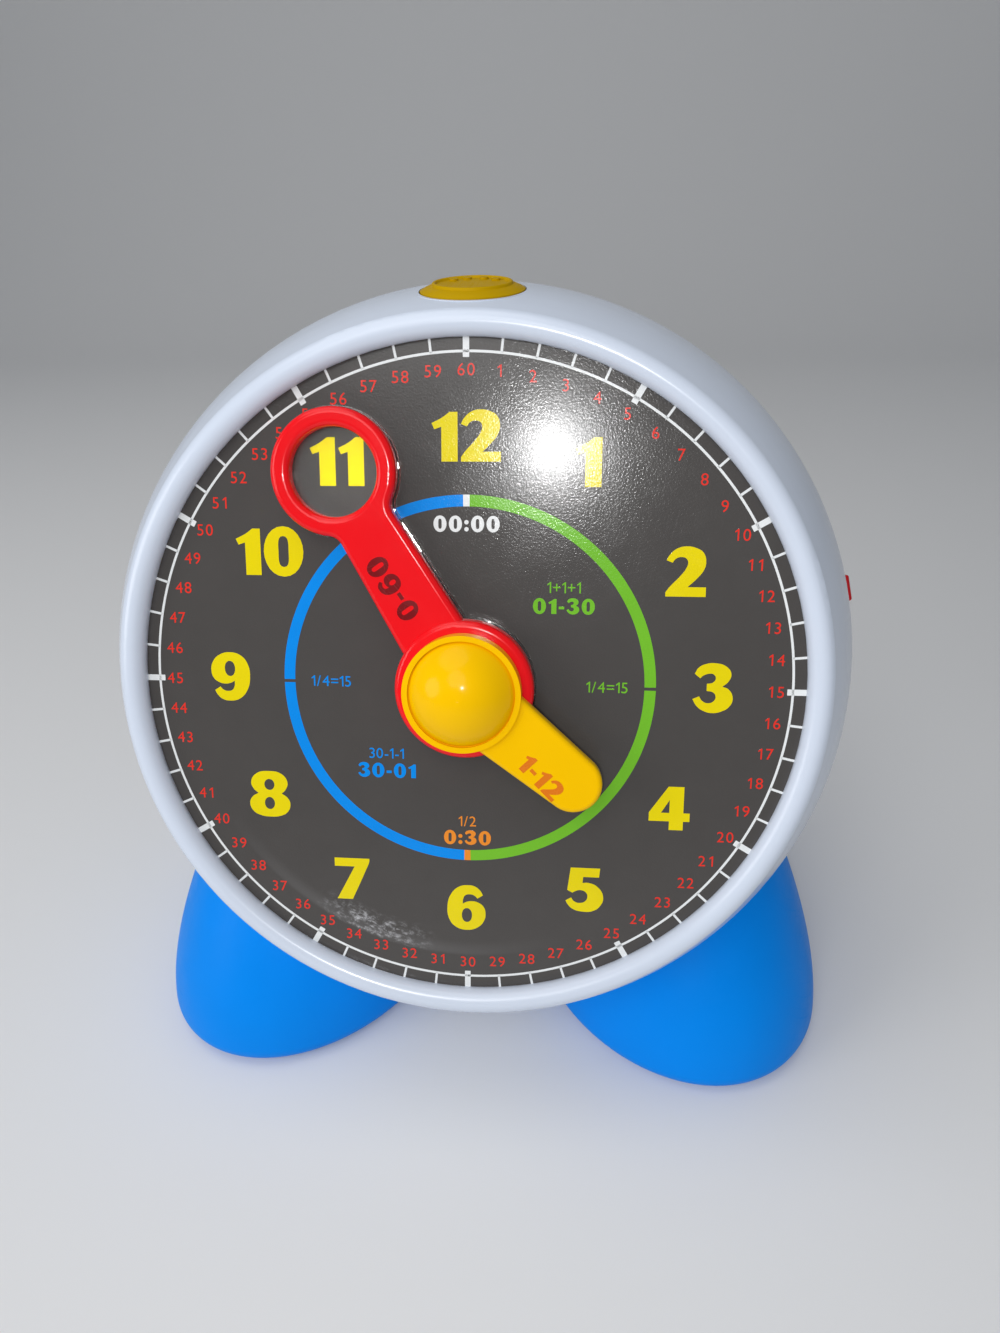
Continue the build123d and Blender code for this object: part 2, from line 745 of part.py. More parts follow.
with BuildPart() as mode_board:
    with BuildSketch(mode_board_plane):
        Rectangle(mode_board_width, mode_board_length)
        with Locations(*mode_post_spots):
            Circle(screw_way, mode=Mode.SUBTRACT)
    extrude(amount=-board_thickness)
mode_board.part.label = "mode_board"
export_step(mode_board.part, "parts/mode_board.step")

# Loudspeaker behind its grille in the upper back
rear_inner = case_depth - case_wall
speaker_height = speaker_height_share * girth_radius


def speaker_layer(depth):
    """Plane parallel to the dial on the loudspeaker's axis."""
    return layer(depth, up=speaker_height)


speaker_axis = Axis(dial_centre + upward * speaker_height, into)
speaker_radial = Plane(origin=dial_centre + upward * speaker_height, x_dir=rightward, z_dir=upward)
gasket_front = rear_inner - gasket_thickness
speaker_flange_front = gasket_front - speaker_flange_thickness
speaker_boss_height = rear_inner - speaker_flange_front
basket_front = gasket_front - speaker_basket_depth
basket_mouth = speaker_radius - gasket_width
speaker_boss_circle = speaker_radius + small_post_radius + seat_gap
speaker_boss_spots = clock_spots(speaker_boss_circle, speaker_boss_count, 0)

with BuildPart() as speaker_gasket:
    cylinder_between(speaker_layer(rear_inner), speaker_radius, gasket_thickness)
    cylinder_between(speaker_layer(rear_inner), basket_mouth, gasket_thickness, mode=Mode.SUBTRACT)
speaker_gasket.part.label = "speaker_gasket"
export_step(speaker_gasket.part, "parts/speaker_gasket.step")

with BuildPart() as speaker_basket:
    with BuildSketch(speaker_radial):
        Polygon(
            (speaker_radius, gasket_front),
            (speaker_radius, speaker_flange_front),
            (basket_mouth + speaker_wall, speaker_flange_front),
            (speaker_neck_radius, basket_front),
            (0, basket_front),
            (0, basket_front + speaker_wall),
            (speaker_neck_radius - speaker_wall, basket_front + speaker_wall),
            (basket_mouth, gasket_front),
            align=None,
        )
    revolve(axis=speaker_axis)
speaker_basket.part.label = "speaker_basket"
export_step(speaker_basket.part, "parts/speaker_basket.step")

with BuildPart() as speaker_cone:
    cone_back = basket_front + speaker_wall
    with BuildSketch(speaker_radial):
        Polygon(
            (0, cone_back),
            (speaker_neck_radius - 2 * speaker_wall, cone_back),
            (basket_mouth - speaker_wall, gasket_front),
            (basket_mouth - 2 * speaker_wall, gasket_front),
            (speaker_neck_radius - 3 * speaker_wall, cone_back + speaker_wall),
            (0, cone_back + speaker_wall),
            align=None,
        )
    revolve(axis=speaker_axis)
speaker_cone.part.label = "speaker_cone"
export_step(speaker_cone.part, "parts/speaker_cone.step")

with BuildPart() as speaker_magnet:
    cylinder_between(speaker_layer(basket_front), speaker_magnet_radius, speaker_magnet_thickness)
speaker_magnet.part.label = "speaker_magnet"
export_step(speaker_magnet.part, "parts/speaker_magnet.step")

with BuildPart() as speaker_screws:
    head_plane = speaker_layer(speaker_flange_front)
    cylinder_between(head_plane, speaker_washer_radius, screw_head_height, speaker_boss_spots)
    cylinder_between(head_plane, screw_radius, -speaker_boss_height, speaker_boss_spots)
speaker_screws.part.label = "speaker_screws"
export_step(speaker_screws.part, "parts/speaker_screws.step")

# Battery tray, cells and door in the lower back
battery_height = battery_height_share * girth_radius
cells_height = 2 * cell_radius * cell_count + 2 * seat_gap * (cell_count + 1)
cell_room = cell_length + cell_nub_length + contact_spring_length
tray_inner_width = cell_room + 2 * contact_thickness + 2 * seat_gap
tray_inner_height = cells_height + tray_screw_strip
tray_width = tray_inner_width + 2 * tray_wall
tray_height = tray_inner_height + 2 * tray_wall
tray_floor = rear_inner - 2 * (cell_radius + seat_gap)
tray_front = tray_floor - tray_wall
cells_drop = -tray_screw_strip / 2
door_screw_spot = [(0, tray_inner_height / 2 - tray_screw_strip / 2 + door_post_sink)]
ear_reach = tray_width / 2 + tray_flange + small_post_radius + seat_gap
ear_spots = [(side * ear_reach, 0) for side in (-1, 1)]
ear_rear = rear_inner - tray_ear_height


def battery_layer(depth):
    """Plane parallel to the dial on the battery tray's middle."""
    return layer(depth, up=battery_height)


main_post_spots = [
    (side * (main_board_width / 2 - main_board_inset), end * (main_board_height / 2 - main_board_inset))
    for side in (-1, 1)
    for end in (-1, 1)
]

with BuildPart() as battery_tray:
    with BuildSketch(battery_layer(rear_inner)):
        Rectangle(tray_width, tray_height)
    extrude(amount=rear_inner - tray_front)
    with BuildSketch(battery_layer(rear_inner)):
        Rectangle(tray_width + 2 * tray_flange, tray_height + 2 * tray_flange)
    extrude(amount=tray_wall)
    with BuildSketch(battery_layer(ear_rear)):
        Rectangle(2 * ear_reach, 2 * tray_ear_radius)
        with Locations(*ear_spots):
            Circle(tray_ear_radius)
            Circle(screw_way, mode=Mode.SUBTRACT)
    extrude(amount=tray_wall)
    with BuildSketch(battery_layer(rear_inner)):
        Rectangle(tray_inner_width, tray_inner_height)
    extrude(amount=rear_inner - tray_floor, mode=Mode.SUBTRACT)
    door_post_length = rear_inner - tray_floor
    cylinder_between(battery_layer(rear_inner), tray_screw_strip / 2, door_post_length, door_screw_spot)
    cylinder_between(battery_layer(rear_inner), screw_radius, screw_bite, door_screw_spot, Mode.SUBTRACT)
    post_foot = battery_layer(tray_front)
    cylinder_between(post_foot, small_post_radius, main_post_length, main_post_spots)
    cylinder_between(post_foot, screw_radius, main_post_length, main_post_spots, Mode.SUBTRACT)
battery_tray.part.label = "battery_tray"
export_step(battery_tray.part, "parts/battery_tray.step")

cell_pitch = 2 * (cell_radius + seat_gap)
lowest_cell = cells_drop - (cell_count - 1) / 2 * cell_pitch
cell_heights = [lowest_cell + step * cell_pitch for step in range(cell_count)]
cell_depth = tray_floor + cell_radius + seat_gap
cell_left = -tray_inner_width / 2 + contact_thickness + seat_gap


def cell_end(index):
    """Plane square to a cell at its plain end; cells lie head to tail."""
    side = 1 if index % 2 == 0 else -1
    start = rightward * (side * (cell_left + contact_spring_length))
    origin = dial_centre + into * cell_depth + upward * (battery_height + cell_heights[index]) + start
    return Plane(origin=origin, x_dir=upward, z_dir=rightward * side)


with BuildPart() as battery_cells:
    for index in range(cell_count):
        cylinder_between(cell_end(index), cell_radius, cell_length)
        cylinder_between(cell_end(index).offset(cell_length), cell_nub_radius, cell_nub_length)
battery_cells.part.label = "battery_cells"
export_step(battery_cells.part, "parts/battery_cells.step")

with BuildPart() as battery_contacts:
    for index in range(cell_count):
        plain_end = cell_end(index).offset(-contact_spring_length)
        cylinder_between(plain_end, cell_nub_radius, contact_spring_length)
        for plate in (plain_end, cell_end(index).offset(cell_length + cell_nub_length + contact_thickness)):
            with BuildSketch(plate):
                Rectangle(contact_side, contact_side)
            extrude(amount=-contact_thickness)
battery_contacts.part.label = "battery_contacts"
export_step(battery_contacts.part, "parts/battery_contacts.step")

with BuildPart() as battery_door:
    with BuildSketch(battery_layer(case_depth)):
        Rectangle(tray_width - 2 * stop_gap, tray_height - 2 * stop_gap)
        with Locations(*door_screw_spot):
            Circle(screw_way, mode=Mode.SUBTRACT)
    extrude(amount=door_thickness)
    door_face = battery_layer(case_depth)
    cylinder_between(door_face, sunk_radius, screw_head_height, door_screw_spot, Mode.SUBTRACT)
battery_door.part.label = "battery_door"
export_step(battery_door.part, "parts/battery_door.step")

with BuildPart() as door_screw:
    door_screw_plane = -battery_layer(case_depth - screw_head_height)
    screws(door_screw_plane, screw_bite, [(x, -y) for x, y in door_screw_spot])
door_screw.part.label = "door_screw"
export_step(door_screw.part, "parts/door_screw.step")

with BuildPart() as battery_screws:
    screws(battery_layer(ear_rear - tray_wall), tray_wall + screw_bite, ear_spots)
battery_screws.part.label = "battery_screws"
export_step(battery_screws.part, "parts/battery_screws.step")

# Main board on the tray's posts, with its sound chip and its capacitors
main_board_rear = tray_front - main_post_length
main_board_front = main_board_rear - board_thickness
with BuildPart() as main_board:
    with BuildSketch(battery_layer(main_board_rear)):
        Rectangle(main_board_width, main_board_height)
        with Locations(*main_post_spots):
            Circle(screw_way, mode=Mode.SUBTRACT)
    extrude(amount=board_thickness)
main_board.part.label = "main_board"
export_step(main_board.part, "parts/main_board.step")

with BuildPart() as main_chip:
    cylinder_between(battery_layer(main_board_front), chip_radius, chip_height)
    fillet(main_chip.faces().sort_by(dial_axis)[0].edges(), chip_height / 2)
main_chip.part.label = "main_chip"
export_step(main_chip.part, "parts/main_chip.step")

with BuildPart() as main_components:
    component_spots = [(side * capacitor_spacing, 0) for side in (-1, 1)]
    cylinder_between(battery_layer(main_board_front), capacitor_radius, capacitor_height, component_spots)
main_components.part.label = "main_components"
export_step(main_components.part, "parts/main_components.step")

with BuildPart() as board_screws:
    screws(battery_layer(main_board_front), main_post_length, main_post_spots)
    screws(-layer(position_board_rear), screw_bite, [(x, -y) for x, y in position_post_spots])
    screws(-button_level(button_board_drop + board_thickness), screw_bite, button_post_spots)
    screws(-slider_level(mode_board_top - board_thickness), screw_bite, mode_post_spots)
board_screws.part.label = "board_screws"
export_step(board_screws.part, "parts/board_screws.step")

# Feet: egg-shaped shells under the case, trimmed by its skin
foot_spread = foot_spread_share * girth_radius
foot_setback = foot_setback_share * girth_radius
foot_half_width = foot_width_share * girth_radius
foot_half_length = foot_length_share * girth_radius
foot_half_height = foot_height_share * girth_radius
foot_y = dial_y + foot_setback
foot_bottom = pad_height
foot_top = foot_widest_height + foot_top_share * foot_half_height
foot_turn = radians(foot_toe_out)
foot_across = Vector(cos(foot_turn), sin(foot_turn), 0)


def foot_level(height):
    """Plane at a height on the right foot's axis, which leans back with the case; Y runs along the foot."""
    climb = max(0, height - foot_widest_height)
    origin = (foot_spread - foot_lean_in * climb, foot_y + tan(tilt) * climb, height)
    return Plane(origin=origin, x_dir=foot_across, z_dir=(0, 0, 1))


def foot_egg(inset, bottom):
    """Egg-shaped body of a foot, this far inside its skin, from one height upwards."""
    rise = foot_half_height - inset
    top = foot_widest_height + foot_top_share * rise
    slices = []
    for step in range(foot_levels):
        height = bottom + (top - bottom) * step / (foot_levels - 1)
        climb_share = max(0, height - foot_widest_height) / rise
        share = sqrt(1 - climb_share**foot_taper)
        with BuildSketch(foot_level(height)) as outline:
            Ellipse((foot_half_width - inset) * share, (foot_half_length - inset) * share)
        slices.append(outline.sketch)
    loft(slices)


seat_skin = solid_case(seat_gap)
saddle_skin = solid_case(seat_gap + foot_wall)
cavity_bottom = foot_bottom + foot_edge
foot_mouth_width = foot_half_width - foot_edge - foot_wall
foot_mouth_length = foot_half_length - foot_edge - foot_wall
base_top = foot_bottom + base_thickness
base_post_reach = base_post_share * foot_mouth_length
base_post_spots = [(0, side * base_post_reach) for side in (-1, 1)]
foot_screw_places = [(x * girth_radius, dial_y + y * girth_radius) for x, y in foot_screw_shares]

with BuildPart() as foot_cavity:
    foot_egg(foot_wall, cavity_bottom)
    add(saddle_skin, mode=Mode.SUBTRACT)

with BuildPart() as right_foot:
    foot_egg(0, foot_bottom)
    fillet(right_foot.faces().sort_by(Axis.Z)[0].edges(), foot_edge)
    add(foot_cavity.part, mode=Mode.SUBTRACT)
    with BuildSketch(foot_level(foot_bottom)):
        Ellipse(foot_mouth_width, foot_mouth_length)
    extrude(amount=foot_edge, mode=Mode.SUBTRACT)
    cylinder_between(foot_level(base_top), foot_post_radius, foot_top - base_top, base_post_spots)
    for x, y in foot_screw_places:
        seat = underside(x, y) - foot_wall - foot_seat_drop
        cylinder_between(level(seat), foot_post_radius, foot_top - seat, [(x, y)])
        head_room = screw_head_height + seat_gap
        cylinder_between(-level(seat), sunk_radius, head_room, [(x, -y)], Mode.SUBTRACT)
    add(seat_skin, mode=Mode.SUBTRACT)
    cylinder_between(foot_level(base_top), screw_radius, screw_bite, base_post_spots, Mode.SUBTRACT)
    cylinder_between(level(foot_bottom), screw_way, foot_top, foot_screw_places, Mode.SUBTRACT)
right_foot.part.label = "right_foot"
export_step(right_foot.part, "parts/right_foot.step")

with BuildPart() as left_foot:
    mirror(right_foot.part, about=Plane.YZ)
left_foot.part.label = "left_foot"
export_step(left_foot.part, "parts/left_foot.step")

with BuildPart() as right_foot_base:
    with BuildSketch(foot_level(foot_bottom)):
        Ellipse(foot_mouth_width - seat_gap, foot_mouth_length - seat_gap)
        with Locations(*base_post_spots):
            Circle(screw_way, mode=Mode.SUBTRACT)
    extrude(amount=base_thickness)
    base_face = foot_level(foot_bottom)
    cylinder_between(base_face, sunk_radius, screw_head_height / 2, base_post_spots, Mode.SUBTRACT)
right_foot_base.part.label = "right_foot_base"
export_step(right_foot_base.part, "parts/right_foot_base.step")

with BuildPart() as left_foot_base:
    mirror(right_foot_base.part, about=Plane.YZ)
left_foot_base.part.label = "left_foot_base"
export_step(left_foot_base.part, "parts/left_foot_base.step")

with BuildPart() as foot_pads:
    pad_across = pad_reach * foot_mouth_width
    pad_along = pad_reach * foot_mouth_length
    pad_spots = [(0, -pad_along), (pad_across, 0), (0, pad_along), (-pad_across, 0)]
    cylinder_between(foot_level(0), pad_radius, pad_height, pad_spots)
    mirror(about=Plane.YZ)
foot_pads.part.label = "foot_pads"
export_step(foot_pads.part, "parts/foot_pads.step")

# Rear half of the housing: rounded back, lip, screw wells, grille and battery opening
with BuildPart() as rear_bosses:
    cylinder_between(layer(case_depth), case_boss_radius, case_depth - girth_depth, case_boss_spots)
    cylinder_between(speaker_layer(rear_inner), small_post_radius, speaker_boss_height, speaker_boss_spots)
    cylinder_between(battery_layer(rear_inner), small_post_radius, tray_ear_height, ear_spots)
    for x, y in foot_screw_places:
        for side in (-1, 1):
            skin = underside(x, y)
            cylinder_between(level(skin), foot_post_radius, screw_bite + case_wall, [(side * x, y)])
    add(case_core, mode=Mode.INTERSECT)

with BuildPart() as rear_shell:
    with BuildSketch(radial_plane):
        with BuildLine():
            rear_seam_turn = degrees(asin(seam_groove / rear_corner_radius))
            corner = CenterArc(corner_spot, rear_corner_radius, rear_seam_turn, 90 - rear_seam_turn)
            inside = CenterArc(corner_spot, rear_corner_radius - case_wall, 0, 90)
            lip_radius = girth_radius - lip_wall - seat_gap
            lip_front = girth_depth - lip_length + seat_gap
            Polyline(corner @ 1, (0, case_depth), (0, rear_inner), inside @ 1)
            Polyline(
                inside @ 0,
                (girth_radius - case_wall, lip_front),
                (lip_radius, lip_front),
                (lip_radius, girth_depth),
                (girth_radius - seam_groove, girth_depth),
                corner @ 0,
            )
        make_face()
    revolve(axis=dial_axis)
    add(rear_bosses.part)
    well_depth = case_depth - girth_depth - case_web
    cylinder_between(layer(case_depth), case_well_radius, well_depth, case_boss_spots, Mode.SUBTRACT)
    cylinder_between(layer(case_depth), screw_way, well_depth + case_web, case_boss_spots, Mode.SUBTRACT)
    with BuildSketch(battery_layer(case_depth)):
        Rectangle(tray_width, tray_height)
    extrude(amount=case_wall, mode=Mode.SUBTRACT)
    with BuildSketch(speaker_layer(case_depth)):
        Circle(grille_hole_radius)
        for ring in range(1, grille_rings + 1):
            with PolarLocations(ring * grille_pitch, 6 * ring):
                Circle(grille_hole_radius)
    extrude(amount=case_wall, mode=Mode.SUBTRACT)
    boss_foot = speaker_layer(rear_inner)
    cylinder_between(boss_foot, screw_radius, speaker_boss_height, speaker_boss_spots, Mode.SUBTRACT)
    cylinder_between(battery_layer(rear_inner), screw_radius, tray_ear_height, ear_spots, Mode.SUBTRACT)
    for x, y in foot_screw_places:
        for side in (-1, 1):
            hole_bottom = level(underside(x, y) - case_wall)
            hole_length = screw_bite + case_wall
            cylinder_between(hole_bottom, screw_radius, hole_length, [(side * x, y)], Mode.SUBTRACT)
rear_shell.part.label = "rear_shell"
export_step(rear_shell.part, "parts/rear_shell.step")

# Screws that hold the housing and the feet together
with BuildPart() as case_screws:
    well_floor = -layer(girth_depth + case_web)
    screws(well_floor, case_web + case_screw_bite, [(x, -y) for x, y in case_boss_spots])
case_screws.part.label = "case_screws"
export_step(case_screws.part, "parts/case_screws.step")

with BuildPart() as foot_screws:
    for x, y in foot_screw_places:
        seat = underside(x, y) - foot_wall - foot_seat_drop
        screws(-level(seat), foot_seat_drop + foot_wall + screw_bite, [(x, -y)])
    mirror(about=Plane.YZ)
foot_screws.part.label = "foot_screws"
export_step(foot_screws.part, "parts/foot_screws.step")

with BuildPart() as base_screws:
    screw_plane = -foot_level(foot_bottom + screw_head_height / 2)
    cylinder_between(screw_plane, screw_head_radius, screw_head_height / 2, base_post_spots)
    cylinder_between(screw_plane, screw_radius, -screw_bite, base_post_spots)
    mirror(about=Plane.YZ)
base_screws.part.label = "base_screws"
export_step(base_screws.part, "parts/base_screws.step")
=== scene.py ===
# %% [markdown]
# # Talking teaching clock
# A child turns the two hands of this clock by hand, presses the yellow button on top, and the clock says
# the time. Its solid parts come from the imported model: the case, the feet, the hands, and all that is
# inside. They are already the right shape, so this lesson never edits them. It gives every part its
# finish, prints the dial, makes better screws, a better spring and a clear rim, and sets up a plain studio
# around the clock.

import json
import math

import bpy
from mathutils import Matrix, Vector

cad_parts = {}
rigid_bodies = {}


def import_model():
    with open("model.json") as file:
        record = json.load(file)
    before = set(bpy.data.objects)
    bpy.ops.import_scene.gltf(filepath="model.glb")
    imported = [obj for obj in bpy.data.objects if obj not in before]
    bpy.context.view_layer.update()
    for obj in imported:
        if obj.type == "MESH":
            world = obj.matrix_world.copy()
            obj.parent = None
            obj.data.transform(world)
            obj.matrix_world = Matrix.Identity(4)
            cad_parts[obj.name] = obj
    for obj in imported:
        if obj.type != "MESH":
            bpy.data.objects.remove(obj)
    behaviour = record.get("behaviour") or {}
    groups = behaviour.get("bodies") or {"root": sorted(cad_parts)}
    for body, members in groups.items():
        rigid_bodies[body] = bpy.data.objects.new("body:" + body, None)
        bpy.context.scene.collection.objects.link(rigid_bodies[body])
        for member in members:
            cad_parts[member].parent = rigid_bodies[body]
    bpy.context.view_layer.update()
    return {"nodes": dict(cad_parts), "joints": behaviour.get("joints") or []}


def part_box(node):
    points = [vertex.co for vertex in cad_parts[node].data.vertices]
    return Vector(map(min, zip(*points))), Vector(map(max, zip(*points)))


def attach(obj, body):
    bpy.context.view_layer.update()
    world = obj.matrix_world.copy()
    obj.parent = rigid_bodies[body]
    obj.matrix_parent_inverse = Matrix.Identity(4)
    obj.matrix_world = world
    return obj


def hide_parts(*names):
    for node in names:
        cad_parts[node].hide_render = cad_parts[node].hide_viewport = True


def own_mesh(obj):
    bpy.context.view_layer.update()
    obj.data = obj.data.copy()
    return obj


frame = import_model()

# %% [markdown]
# ## A frame of reference on the dial
# The dial leans back by 20 degrees, which makes it awkward to place a figure on it in world coordinates.
# The joint of the minute hand gives the centre of the dial and the direction that goes into the case. From
# these we make a matrix that takes a flat drawing, with its own X to the right and Y up, onto the dial.
# Everything printed is drawn flat in millimetres first, and the matrix is applied to its mesh at the very
# end.

# %% Dial frame
mm = 0.001
turning = next(joint for joint in frame["joints"] if joint["name"] == "minute_turn")
dial_centre = Vector(turning["pos_m"])
dial_out = -Vector(turning["axis"]).normalized()
dial_right = Vector((1.0, 0.0, 0.0))
dial_up = dial_out.cross(dial_right)


def height_over_dial(node, spot):
    """How far the surface of a node stands over the dial plane at a spot of the dial, in millimetres."""
    high = dial_centre + (dial_right * spot[0] + dial_up * spot[1] + dial_out * 60.0) * mm
    place = frame["nodes"][node].ray_cast(high, -dial_out)[1]
    return (place - dial_centre).dot(dial_out) / mm


bare_spot = (80.0, 20.0)
dial_front = height_over_dial("dial_sheet", bare_spot)
print("dial centre", dial_centre, "front of the sheet at", round(dial_front, 3), "mm")


# %% [markdown]
# ## Camera
# The photograph was taken by a phone held a little above the clock and to its right, tipped down by 31
# degrees. The place, the tilt and the lens were worked out from the circles printed on the dial, which
# look like ellipses. The wide lens is worth copying: it is what makes the upper half of the dial look
# larger than the lower half.

# %% Camera
def add_piece(operator, **values):
    """Runs an operator that adds one object, with nothing else selected, and gives that object back."""
    bpy.ops.object.select_all(action="DESELECT")
    operator(**values)
    return bpy.context.object


camera_place = (0.0353, -0.28085, 0.3096)
camera_tilt = [math.radians(angle) for angle in (58.671, 1.542, 4.967)]
camera = add_piece(bpy.ops.object.camera_add, location=camera_place, rotation=camera_tilt)
camera.name = "photo_camera"
camera.data.lens = 24.54
camera.data.sensor_width = 36.0
camera.data.clip_start = 0.01
bpy.context.scene.camera = camera
print("camera lens", round(camera.data.lens, 2), "mm")

# %% [markdown]
# ## Floor and backdrop
# A studio floor sweeps up behind the object, so that no horizon line cuts through the picture. It starts
# as one flat plane. Its far edge is extruded step by step along a quarter circle and then straight up. A
# subdivision modifier would round it as well, but the extruded steps with smooth shading are enough here.

# %% Floor
floor = add_piece(bpy.ops.mesh.primitive_plane_add, size=1.0)
floor.name = "studio_floor"
floor_width = 6.0
front_edge = -2.2
sweep_radius = 0.7
sweep_start = 1.1
sweep_steps = 16
wall_height = 2.0
bpy.ops.object.mode_set(mode="EDIT")
bpy.ops.transform.resize(value=(floor_width, 1.0, 1.0))
bpy.ops.transform.translate(value=(0.0, sweep_start - 0.5, 0.0))
bpy.ops.mesh.select_mode(type="EDGE")
bpy.ops.object.mode_set(mode="OBJECT")
for vertex in floor.data.vertices:
    if vertex.co.y < sweep_start - 0.5:
        vertex.co.y = front_edge
for edge in floor.data.edges:
    edge.select = all(floor.data.vertices[i].co.y > sweep_start - 0.01 for i in edge.vertices)
for polygon in floor.data.polygons:
    polygon.select = False
bpy.ops.object.mode_set(mode="EDIT")
last_spot = (0.0, 0.0)
for step in range(1, sweep_steps + 1):
    turn = math.radians(90.0) * step / sweep_steps
    spot = (sweep_radius * math.sin(turn), sweep_radius * (1.0 - math.cos(turn)))
    move = (0.0, spot[0] - last_spot[0], spot[1] - last_spot[1])
    bpy.ops.mesh.extrude_region_move(TRANSFORM_OT_translate={"value": move})
    last_spot = spot
bpy.ops.mesh.extrude_region_move(TRANSFORM_OT_translate={"value": (0.0, 0.0, wall_height)})
bpy.ops.mesh.select_all(action="SELECT")
bpy.ops.mesh.normals_make_consistent(inside=False)
bpy.ops.object.mode_set(mode="OBJECT")
bpy.ops.object.shade_smooth()
print("floor with", len(floor.data.polygons), "faces")


# %% [markdown]
# ## Lights
# Three large soft lights, overhead, high in front and at the left, give the clock its shape. All stand
# where the glossy dial does not mirror them to the camera, or the dark print would look milky. A small
# light stands for the phone's own lamp. It is placed by the law of the mirror: a ray from the camera to a
# spot between 12 and 1 is reflected by the dial, and the lamp hangs on that reflected ray, so it shows as
# a bright speckled spot just there.

# %% Lights
def soft_light(name, place, target, size, power):
    lamp = add_piece(bpy.ops.object.light_add, type="AREA", location=place)
    lamp.name = name
    lamp.rotation_euler = (Vector(target) - Vector(place)).to_track_quat("-Z", "Y").to_euler()
    lamp.data.shape = "DISK"
    lamp.data.size = size
    lamp.data.energy = power


middle_of_clock = (0.0, 0.0, 0.12)
soft_light("overhead_light", (-0.35, -0.10, 1.35), (0.0, 0.0, 0.1), 1.1, 4.5)
soft_light("front_light", (-0.25, -1.10, 1.25), middle_of_clock, 0.9, 5.6)
soft_light("side_light", (-1.2, -0.75, 0.55), middle_of_clock, 0.8, 4.8)
lamp_distance = 0.45
flash_spot = dial_centre + (dial_right * 26.0 + dial_up * 72.1) * mm
sight = (flash_spot - camera.location).normalized()
lamp_place = flash_spot + sight.reflect(dial_out) * lamp_distance
soft_light("camera_light", lamp_place, flash_spot, 0.025, 0.6)
world = bpy.data.worlds.new("pale_room")
bpy.context.scene.world = world
world.use_nodes = True
world.node_tree.nodes["Background"].inputs["Color"].default_value = (0.80, 0.84, 0.90, 1.0)
world.node_tree.nodes["Background"].inputs["Strength"].default_value = 0.25
bpy.context.scene.view_settings.view_transform = "Standard"


# %% [markdown]
# ## Shared surface effects
# Real plastic is never one even colour. Four effects turn up on nearly every part of the clock, so each is
# a node group with named sockets, built once and placed in a material with its own values. The groups put
# out only colours and values. The shader itself stays in each material.

# %% Group helper
def start_group(name, inputs, outputs):
    group = bpy.data.node_groups.new(name, "ShaderNodeTree")
    for title, kind, value in inputs:
        socket = group.interface.new_socket(name=title, in_out="INPUT", socket_type=kind)
        if value is not None:
            socket.default_value = value
    for title, kind in outputs:
        group.interface.new_socket(name=title, in_out="OUTPUT", socket_type=kind)
    return group, group.nodes.new("NodeGroupInput"), group.nodes.new("NodeGroupOutput")


def add_node(tree, kind, **values):
    node = tree.nodes.new(kind)
    for name, value in values.items():
        setattr(node, name, value)
    return node


def preset(node, **values):
    """Sets input sockets by their names, with an underscore for each blank."""
    for name, value in values.items():
        node.inputs[name.replace("_", " ")].default_value = value


def ramp(tree, start, end):
    """A soft step from 0 at one value to 1 at another."""
    step = add_node(tree, "ShaderNodeMapRange", interpolation_type="SMOOTHSTEP")
    preset(step, From_Min=start, From_Max=end)
    return step


print("helpers", [helper.__name__ for helper in (start_group, add_node, preset, ramp)])

# %% [markdown]
# ### Tone drift
# Coloured pellets never mix perfectly, so a large moulding is a touch lighter here and darker there. A
# slow noise moves the brightness of the colour up and down by a small share.

# %% Tone drift
tone_drift, ins, outs = start_group(
    "tone_drift",
    [
        ("Vector", "NodeSocketVector", None),
        ("Color", "NodeSocketColor", (0.8, 0.8, 0.8, 1.0)),
        ("Scale", "NodeSocketFloat", 30.0),
        ("Amount", "NodeSocketFloat", 0.05),
    ],
    [("Color", "NodeSocketColor")],
)
cloud = add_node(tone_drift, "ShaderNodeTexNoise")
preset(cloud, Detail=3.0)
centred = add_node(tone_drift, "ShaderNodeMath", operation="SUBTRACT")
centred.inputs[1].default_value = 0.5
share = add_node(tone_drift, "ShaderNodeMath", operation="MULTIPLY")
value = add_node(tone_drift, "ShaderNodeMath", operation="MULTIPLY_ADD")
value.inputs[1].default_value = 4.0
value.inputs[2].default_value = 1.0
shade = add_node(tone_drift, "ShaderNodeHueSaturation")
link = tone_drift.links.new
link(ins.outputs["Vector"], cloud.inputs["Vector"])
link(ins.outputs["Scale"], cloud.inputs["Scale"])
link(cloud.outputs["Fac"], centred.inputs[0])
link(centred.outputs[0], share.inputs[0])
link(ins.outputs["Amount"], share.inputs[1])
link(share.outputs[0], value.inputs[0])
link(value.outputs[0], shade.inputs["Value"])
link(ins.outputs["Color"], shade.inputs["Color"])
link(shade.outputs["Color"], outs.inputs["Color"])
print("group", tone_drift.name)

# %% [markdown]
# ### Fine scratches
# Hands and cloths leave hair lines on glossy plastic. Noise that is stretched eighty times longer in one
# direction gives streaks, and only its peaks are kept. Three directions together look like years of
# careless wiping.

